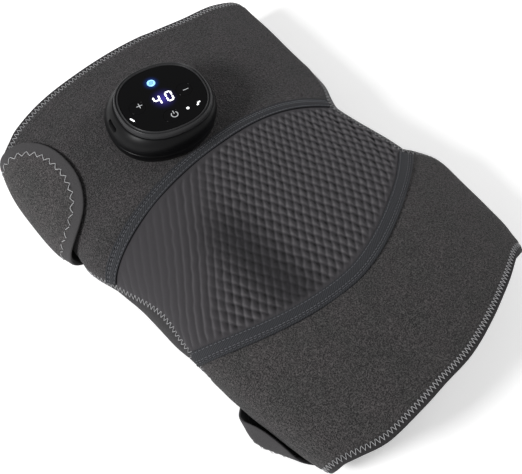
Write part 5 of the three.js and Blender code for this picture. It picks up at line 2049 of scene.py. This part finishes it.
    def plate(
        self, name: str, loops: Sequence[Array], low: float, high: float, skin: Skin, edge: float = 0.0
    ) -> Piece:
        """Make a flat plate from closed outlines on the unit's plan.

        Args:
            name: The piece's name.
            loops: Outer outlines, and the holes in them.
            low: Height of its under face.
            high: Height of its top face.
            skin: Its finish.
            edge: Width of the bevel on its edges.

        Returns:
            The plate.
        """
        shape = bpy.data.curves.new(name, "CURVE")
        shape.dimensions, shape.fill_mode = "2D", "BOTH"
        shape.extrude = (high - low) / 2 * MM - edge * MM
        shape.bevel_depth, shape.bevel_resolution = edge * MM, 2
        shape.offset = -edge * MM
        for loop in loops:
            line = shape.splines.new("POLY")
            line.points.add(len(loop) - 1)
            height_and_weight = np.tile([0.0, 1.0], (len(loop), 1))
            line.points.foreach_set("co", np.concatenate([loop * MM, height_and_weight], axis=1).ravel())
            line.use_cyclic_u = True
        outline = add(name + "_outline", shape)
        mesh = bpy.data.meshes.new_from_object(outline.evaluated_get(bpy.context.evaluated_depsgraph_get()))
        bpy.data.objects.remove(outline)
        turn = Matrix.Rotation(math.radians(self.turn_degrees), 4, "Z")
        turn.translation = Vector(self.middle) * MM + Vector((0, 0, (low + high) / 2 * MM))
        mesh.transform(turn)
        mesh.name = name
        mesh.materials.clear()
        mesh.materials.append(skin.value.dressed())
        made = add(name, mesh)
        Maker.tidy(made)
        Maker.crisp(made, 25)
        return made

    def disc(self, across: float, along: float, radius: float, sides: int = 48) -> Array:
        """Return a round outline."""
        return oval(radius, radius, 2.0, sides) + np.array([across, along])

    def bar(self, start: Sequence[float], end: Sequence[float], width: float, pointed: bool = False) -> Array:
        """Return the outline of a short bar, with blunt or pointed ends.

        Args:
            start: Middle of its first end.
            end: Middle of its other end.
            width: Its width.
            pointed: Whether its ends run to a point.

        Returns:
            The outline's corners.
        """
        a, b = np.array(start, float), np.array(end, float)
        ahead = (b - a) / np.linalg.norm(b - a)
        side = np.array([-ahead[1], ahead[0]]) * width / 2
        if pointed:
            nose = ahead * width / 2
            return np.array([a, a + nose - side, b - nose - side, b, b - nose + side, a + nose + side])
        return np.array([a - side, b - side, b + side, a + side])

    def glass(self) -> Piece:
        """Make the glass with openings for the three keys."""
        holes = [self.disc(x, y, self.key_radius + self.key_gap) for x, y in self.keys.values()]
        outer = oval(*self.glass_half, self.glass_power, self.sides) + np.array(self.top_shift)
        piece = self.plate(
            "display_glass_polished", [outer, *holes], self.glass_under, self.glass_top, Skin.GLASS, 0.1
        )
        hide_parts("display_glass")
        return piece

    def key_caps(self) -> list[Piece]:
        """Make the three key caps, each with its stem and flange."""
        made = []
        radius, wide = self.key_radius, self.key_radius + self.key_flange
        foot, under, over, edge = self.key_levels
        stem = [(0.0, foot), (self.key_stem, foot), (self.key_stem, under)]
        flange = [(wide, under), (wide, over), (radius, over)]
        cap = [(radius, edge), (radius - self.key_bevel, self.glass_top), (0.0, self.glass_top)]
        points, faces = turned([*stem, *flange, *cap], self.key_sides)
        for key, (x, y) in self.keys.items():
            places = self.world(points.reshape(-1, 3) + np.array([x, y, 0.0]))
            piece = Maker.piece(f"{key}_key_cap", places, faces, [Skin.GLASS])
            Maker.tidy(piece)
            Maker.crisp(piece, 25)
            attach(piece, f"{key}_button")
            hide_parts(f"{key}_key")
            made.append(piece)
        return made

    def digits(self) -> list[Array]:
        """Return the lit segments of the number forty."""
        ends = {
            "top": ((-0.5, 0.5), (0.5, 0.5)),
            "middle": ((-0.5, 0.0), (0.5, 0.0)),
            "base": ((-0.5, -0.5), (0.5, -0.5)),
            "high_left": ((-0.5, 0.5), (-0.5, 0.0)),
            "low_left": ((-0.5, 0.0), (-0.5, -0.5)),
            "high_right": ((0.5, 0.5), (0.5, 0.0)),
            "low_right": ((0.5, 0.0), (0.5, -0.5)),
        }
        four = ("high_left", "middle", "high_right", "low_right")
        nought = ("top", "high_left", "low_left", "high_right", "low_right", "base")
        loops = []
        for middle, names in ((-self.digit_place, four), (self.digit_place, nought)):
            for name in names:
                a, b = (np.array(end) * (np.array(self.digit_size) - self.digit_stroke) for end in ends[name])
                gap = (b - a) / np.linalg.norm(b - a) * self.digit_gap
                bar = self.bar(a + gap, b - gap, self.digit_stroke, True)
                bar[:, 0] += middle + bar[:, 1] * self.digit_lean
                loops.append(bar + np.array(self.number_shift))
        return loops

    def on_key(self, key: str, across: float, along: float) -> Array:
        """Return a place beside the middle of a key."""
        return np.array(self.keys[key]) + np.array([across, along])

    def plus(self) -> list[Array]:
        """Return the plus sign: a whole bar, and half bars above and below it."""
        middle, arm, clear = self.on_key("plus", 1.7, 0.8), 1.75, 0.22
        ends = ((-arm, 0), (arm, 0)), ((0, -arm), (0, -clear)), ((0, clear), (0, arm))
        return [
            self.bar(middle + np.array(start), middle + np.array(end), self.sign_stroke) for start,
            end in ends
        ]

    def minus(self) -> list[Array]:
        """Return the minus sign."""
        middle, arm = self.on_key("minus", 0.8, -0.4), np.array([1.6, 0])
        return [self.bar(middle - arm, middle + arm, self.sign_stroke)]

    def power_sign(self) -> list[Array]:
        """Return the power sign: an open ring and a short bar."""
        turns = np.linspace(math.radians(128), math.radians(412), 40)
        x, y = self.on_key("power", 2.0, 0.3)
        outer, inner = (
            np.stack([x + r * np.cos(turns), y - 0.2 + r * np.sin(turns)], axis=-1) for r in (2.05, 1.6)
        )
        return [np.concatenate([outer, inner[::-1]]), self.bar((x, y + 0.3), (x, y + 2.5), 0.45)]

    def waves(self) -> list[Array]:
        """Return the three waves of warmth on the round sign."""
        t, half = np.linspace(-1, 1, 16), np.array([0.2, 0])
        loops = []
        for middle in (-0.8, 0.0, 0.8):
            line = np.stack([middle + 0.3 * np.sin(t * math.pi), self.round_sign[1] + 1.3 * t], axis=-1)
            loops.append(np.concatenate([line + half, line[::-1] - half]))
        return loops

    def edge_marks_with_painted_highlight(self) -> list[Array]:
        """Return the small marks at the glass's edge: a bar, which is a painted highlight on the glass, and a
        dot and a bent stroke, which are lit marks.
        """
        bent = (
            (15.8, -14.9), (16.8, -14.6), (17.3, -13.5), (18.5, -13.2),
            (18.2, -12.4), (16.7, -12.7), (16.2, -13.9), (15.5, -14.2),
        )
        # The bar is a painted highlight: a reflection on the glass, drawn as a glowing white mark.
        bar = self.bar((-20.8, -5.8), (-19.3, -9.0), 0.9, True)
        return [bar, self.disc(10.3, -14.1, 0.85, 24), np.array(bent)]

    def signs(self) -> list[Piece]:
        """Make the lit number, the round sign, the marks at the glass's edge with their painted highlight,
        and the signs on the keys.
        """
        top, proud = self.glass_top, self.proud
        plan = (
            ("lit_number", self.digits(), Skin.LIT_NUMBER, "wrap", proud),
            ("lit_round_sign", [self.disc(*self.round_sign)], Skin.LIT_SIGN, "wrap", proud),
            ("round_sign_waves", self.waves(), Skin.SIGN_MARK, "wrap", proud * 2),
            # The glass's edge marks: a painted highlight and two lit marks.
            ("edge_marks_with_painted_highlight", self.edge_marks_with_painted_highlight(), Skin.GLOW_AND_PAINTED_HIGHLIGHT, "wrap", proud),
            ("plus_sign", self.plus(), Skin.FAINT_MARK, "plus_button", proud),
            ("minus_sign", self.minus(), Skin.FAINT_MARK, "minus_button", proud),
            ("power_sign", self.power_sign(), Skin.FAINT_MARK, "power_button", proud),
        )
        made = []
        for name, loops, skin, body, height in plan:
            piece = self.plate(name, loops, top - proud, top + height, skin)
            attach(piece, body)
            made.append(piece)
        return made

    def build(self) -> None:
        """Make every piece of the unit and report it."""
        bodies = (self.lower_housing(), self.upper_housing())
        rim, glass = self.rim(), self.glass()
        for piece in (*bodies, rim, glass):
            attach(piece, "wrap")
        for piece in (*bodies, rim, glass, *self.key_caps(), *self.signs()):
            Maker.report(piece)


# Pods and the hidden pieces


@dataclass
class Pods:
    """The two massage pods, whose round shells look out of the lining."""

    wrap: Wrap
    radius: float = 15.0
    depth: float = 11.0
    seat: float = 1.35
    wall: float = 1.2
    curve: float = 4.0
    sides: int = 72

    @staticmethod
    def arc(radius: float, depth: float, curve: float) -> list[Pair]:
        """Return the rounded edge of a lid, from its flank to its flat."""
        turns = np.linspace(0, math.pi / 2, 9)
        return [(radius - curve + curve * math.cos(a), depth - curve + curve * math.sin(a)) for a in turns]

    def shell(self, side: str, sign: int) -> Piece:
        """Make one pod's shell, turned round its own axis towards the leg.

        Args:
            side: Left or right.
            sign: -1 for left and 1 for right.

        Returns:
            The shell.
        """
        inner = self.radius - self.wall
        outside = self.arc(self.radius, self.depth, self.curve)
        inside = self.arc(inner, self.depth - self.wall, self.curve - self.wall)
        ribs = [
            (r, self.depth + h) for r, h in ((9.0, 0.0), (8.6, -0.35), (7.4, -0.35), (7.0, 0.0), (0.0, 0.0))
        ]
        profile = [
            (0.0, self.depth - self.wall), *inside[::-1], (inner, self.seat), (self.radius, self.seat),
            *outside, *ribs,
        ]
        points, faces = turned(profile, self.sides)
        wrap = self.wrap
        place = wrap.outline.turn + sign * wrap.pod_share, wrap.pod_place
        here = wrap.tube.point(*place, 0.0)
        _, _, out_x, out_z = wrap.tube.section(*place)
        deep = -np.array([float(out_x), 0.0, float(out_z)])
        along = np.array([0.0, 1.0, 0.0])
        across = np.cross(along, deep)
        world = here + points[..., :1] * across + points[..., 1:2] * along + points[..., 2:] * deep
        piece = Maker.piece(f"{side}_pod_dome", world.reshape(-1, 3), faces, [Skin.BODY])
        Maker.tidy(piece)
        Maker.crisp(piece, 40)
        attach(piece, "wrap")
        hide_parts(f"{side}_pod_shell")
        return piece

    def build(self) -> None:
        """Make both shells and report them."""
        for side, sign in (("left", -1), ("right", 1)):
            Maker.report(self.shell(side, sign))


class HiddenPieces:
    """Gives the solids that stay as they are their finishes."""

    FINISHES: ClassVar[dict[Skin, tuple[str, ...]]] = {
        Skin.BODY: (
            "left_pod_lid", "right_pod_lid", "clamp_plate", "plus_switch", "minus_switch", "power_switch"
        ),
        Skin.STEEL: (
            *(f"{side}_motor_{part}" for part in ("can", "weight") for side in ("left", "right")),
            *(f"{kind}_screw_{number}" for kind in ("board", "clamp") for number in (1, 2, 3)),
            "charging_socket",
        ),
        Skin.LEAD: ("film_lead",),
        Skin.CUTOFF: ("overheat_cutoff",),
        Skin.SENSOR: ("temperature_sensor",),
        Skin.DISPLAY: ("display_module",),
        Skin.BOARD: ("main_board",),
        Skin.BATTERY: ("battery_cell",),
    }

    def dress(self, nodes: dict[str, Piece]) -> None:
        """Dress every solid that is still shown.

        Args:
            nodes: The solids by name.
        """
        for skin, names in self.FINISHES.items():
            for name in names:
                nodes[name].data.materials.clear()
                nodes[name].data.materials.append(skin.value.dressed())
            LOG.info("%s on %s", skin.value.name, ", ".join(names))


# Studio


@dataclass
class Studio:
    """Pale floor, soft lamps and the camera."""

    azimuth: float = -43.36
    elevation: float = 58.0
    distance: float = 532.0
    target: Place = (-12.92, -3.42, 20.0)
    focal_pixels: float = 940.0
    frame_width: int = 522
    sensor: float = 36.0
    lit_place: Place = (0.0, 0.0, 0.03)
    background_light: float = 0.26
    floor_half: float = 3000.0
    floor_height: float = -0.4

    def camera(self) -> None:
        """Set the camera at the photograph's angle."""
        a, e = math.radians(self.azimuth), math.radians(self.elevation)
        back = Vector((math.sin(a) * math.cos(e), -math.cos(a) * math.cos(e), math.sin(e)))
        right = Vector((math.cos(a), math.sin(a), 0.0))
        up = back.cross(right)
        data = bpy.data.cameras.new("camera")
        data.sensor_width = self.sensor
        data.lens = self.focal_pixels / self.frame_width * self.sensor
        data.clip_start, data.clip_end = 0.01, 20.0
        made = add("camera", data)
        turn = Matrix((right, up, back)).transposed().to_4x4()
        turn.translation = (Vector(self.target) + back * self.distance) * MM
        made.matrix_world = turn
        bpy.context.scene.camera = made

    def lamp(self, name: str, place: Place, size: float, power: float) -> None:
        """Hang a soft square lamp that points at the wrap.

        Args:
            name: The lamp's name.
            place: Where it hangs, in metres.
            size: Its width in metres.
            power: Its power in watts.
        """
        data = bpy.data.lights.new(name, "AREA")
        data.shape, data.size, data.energy = "SQUARE", size, power
        made = add(name, data)
        made.location = place
        made.rotation_euler = (Vector(self.lit_place) - Vector(place)).to_track_quat("-Z", "Y").to_euler()

    @staticmethod
    def seen(nodes: Nodes) -> Socket:
        """Give 1 to the camera's rays and to those off glossy or clear surfaces, and 0 to all others.

        Args:
            nodes: The tree that the nodes go into.

        Returns:
            The number.
        """
        path = nodes.node("ShaderNodeLightPath").outputs
        total = path["Is Camera Ray"]
        for kind in ("Is Glossy Ray", "Is Transmission Ray"):
            total = nodes.node("ShaderNodeMath", {0: total, 1: path[kind]}, use_clamp=True).outputs[0]
        return total

    def floor(self) -> None:
        """Lay the pale floor."""
        corners = ((-1, -1), (1, -1), (1, 1), (-1, 1))
        points = np.array([(x * self.floor_half, y * self.floor_half, self.floor_height) for x, y in corners])
        p = Pattern("pale_floor")
        grain = p.ranged(p.noise(p.place(), 60.0, 3.0), 0.3, 0.7)
        pale = p.blend(grain, linear(247, 247, 247), linear(250, 250, 250))
        p.set(Base_Color=pale, Roughness=0.9, Emission_Color=(1.0, 1.0, 1.0, 1.0))
        away = p.node("ShaderNodeVectorMath", {0: p.place()}, operation="LENGTH").outputs["Value"]
        p.set(Emission_Strength=p.times(self.seen(p), p.ranged(away, 0.35, 1.1, 0.36, 0.8)))
        mesh = bpy.data.meshes.new("floor")
        mesh.from_pydata((points * MM).tolist(), [], [(0, 1, 2, 3)])
        mesh.materials.append(p.material)
        add("floor", mesh)

    def build(self) -> None:
        """Set up the floor, light, background and camera."""
        scene = bpy.context.scene
        scene.view_settings.view_transform = "Standard"
        world = scene.world or bpy.data.worlds.new("studio")
        scene.world = world
        world.use_nodes = True
        nodes = Nodes(world.node_tree)
        background = world.node_tree.nodes["Background"]
        background.inputs["Color"].default_value = (1.0, 1.0, 1.0, 1.0)
        values = {"Value": self.seen(nodes), "To Min": self.background_light}
        nodes.feed(background.inputs["Strength"], nodes.node("ShaderNodeMapRange", values).outputs["Result"])
        self.lamp("key_lamp", (-0.95, 0.15, 0.7), 0.3, 12.5)
        self.lamp("fill_lamp", (0.85, -0.15, 0.6), 0.4, 4.0)
        self.floor()
        self.camera()


def main() -> None:
    """Build the massager's looks in order."""
    logging.basicConfig(level=logging.INFO, format="%(name)s %(message)s")
    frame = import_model()
    tube = LegTube()
    sewing = Sewing(tube)
    Studio().build()
    wrap = Wrap(tube, Outline(tube), sewing)
    wrap.build()
    bend = ((-101.7, 98.156, 11.0), (-101.7, 98.156, 27.0))
    Strap(tube, sewing, "upper", 60.0, 139.0, 3.02, 3.33, bend, slack=7.0).build()
    bend = ((-60.0, -92.34, 1.5), (-75.0, -92.34, 4.5))
    along = ((0, -0.2), (0.2, 0.4), (0.4, 0.95), (0.62, 0.5), (1, -0.7))
    shape = {"slack": 7.2, "taper": 16.0, "slack_shares": (2.72, 2.95, 3.014), "slack_along": along}
    Strap(tube, sewing, "lower", -124.0, -60.0, 2.78, 3.01, bend, **shape).build()
    ControlUnit(tube).build()
    Pods(wrap).build()
    HiddenPieces().dress(frame["nodes"])


if __name__ == "__main__":
    main()
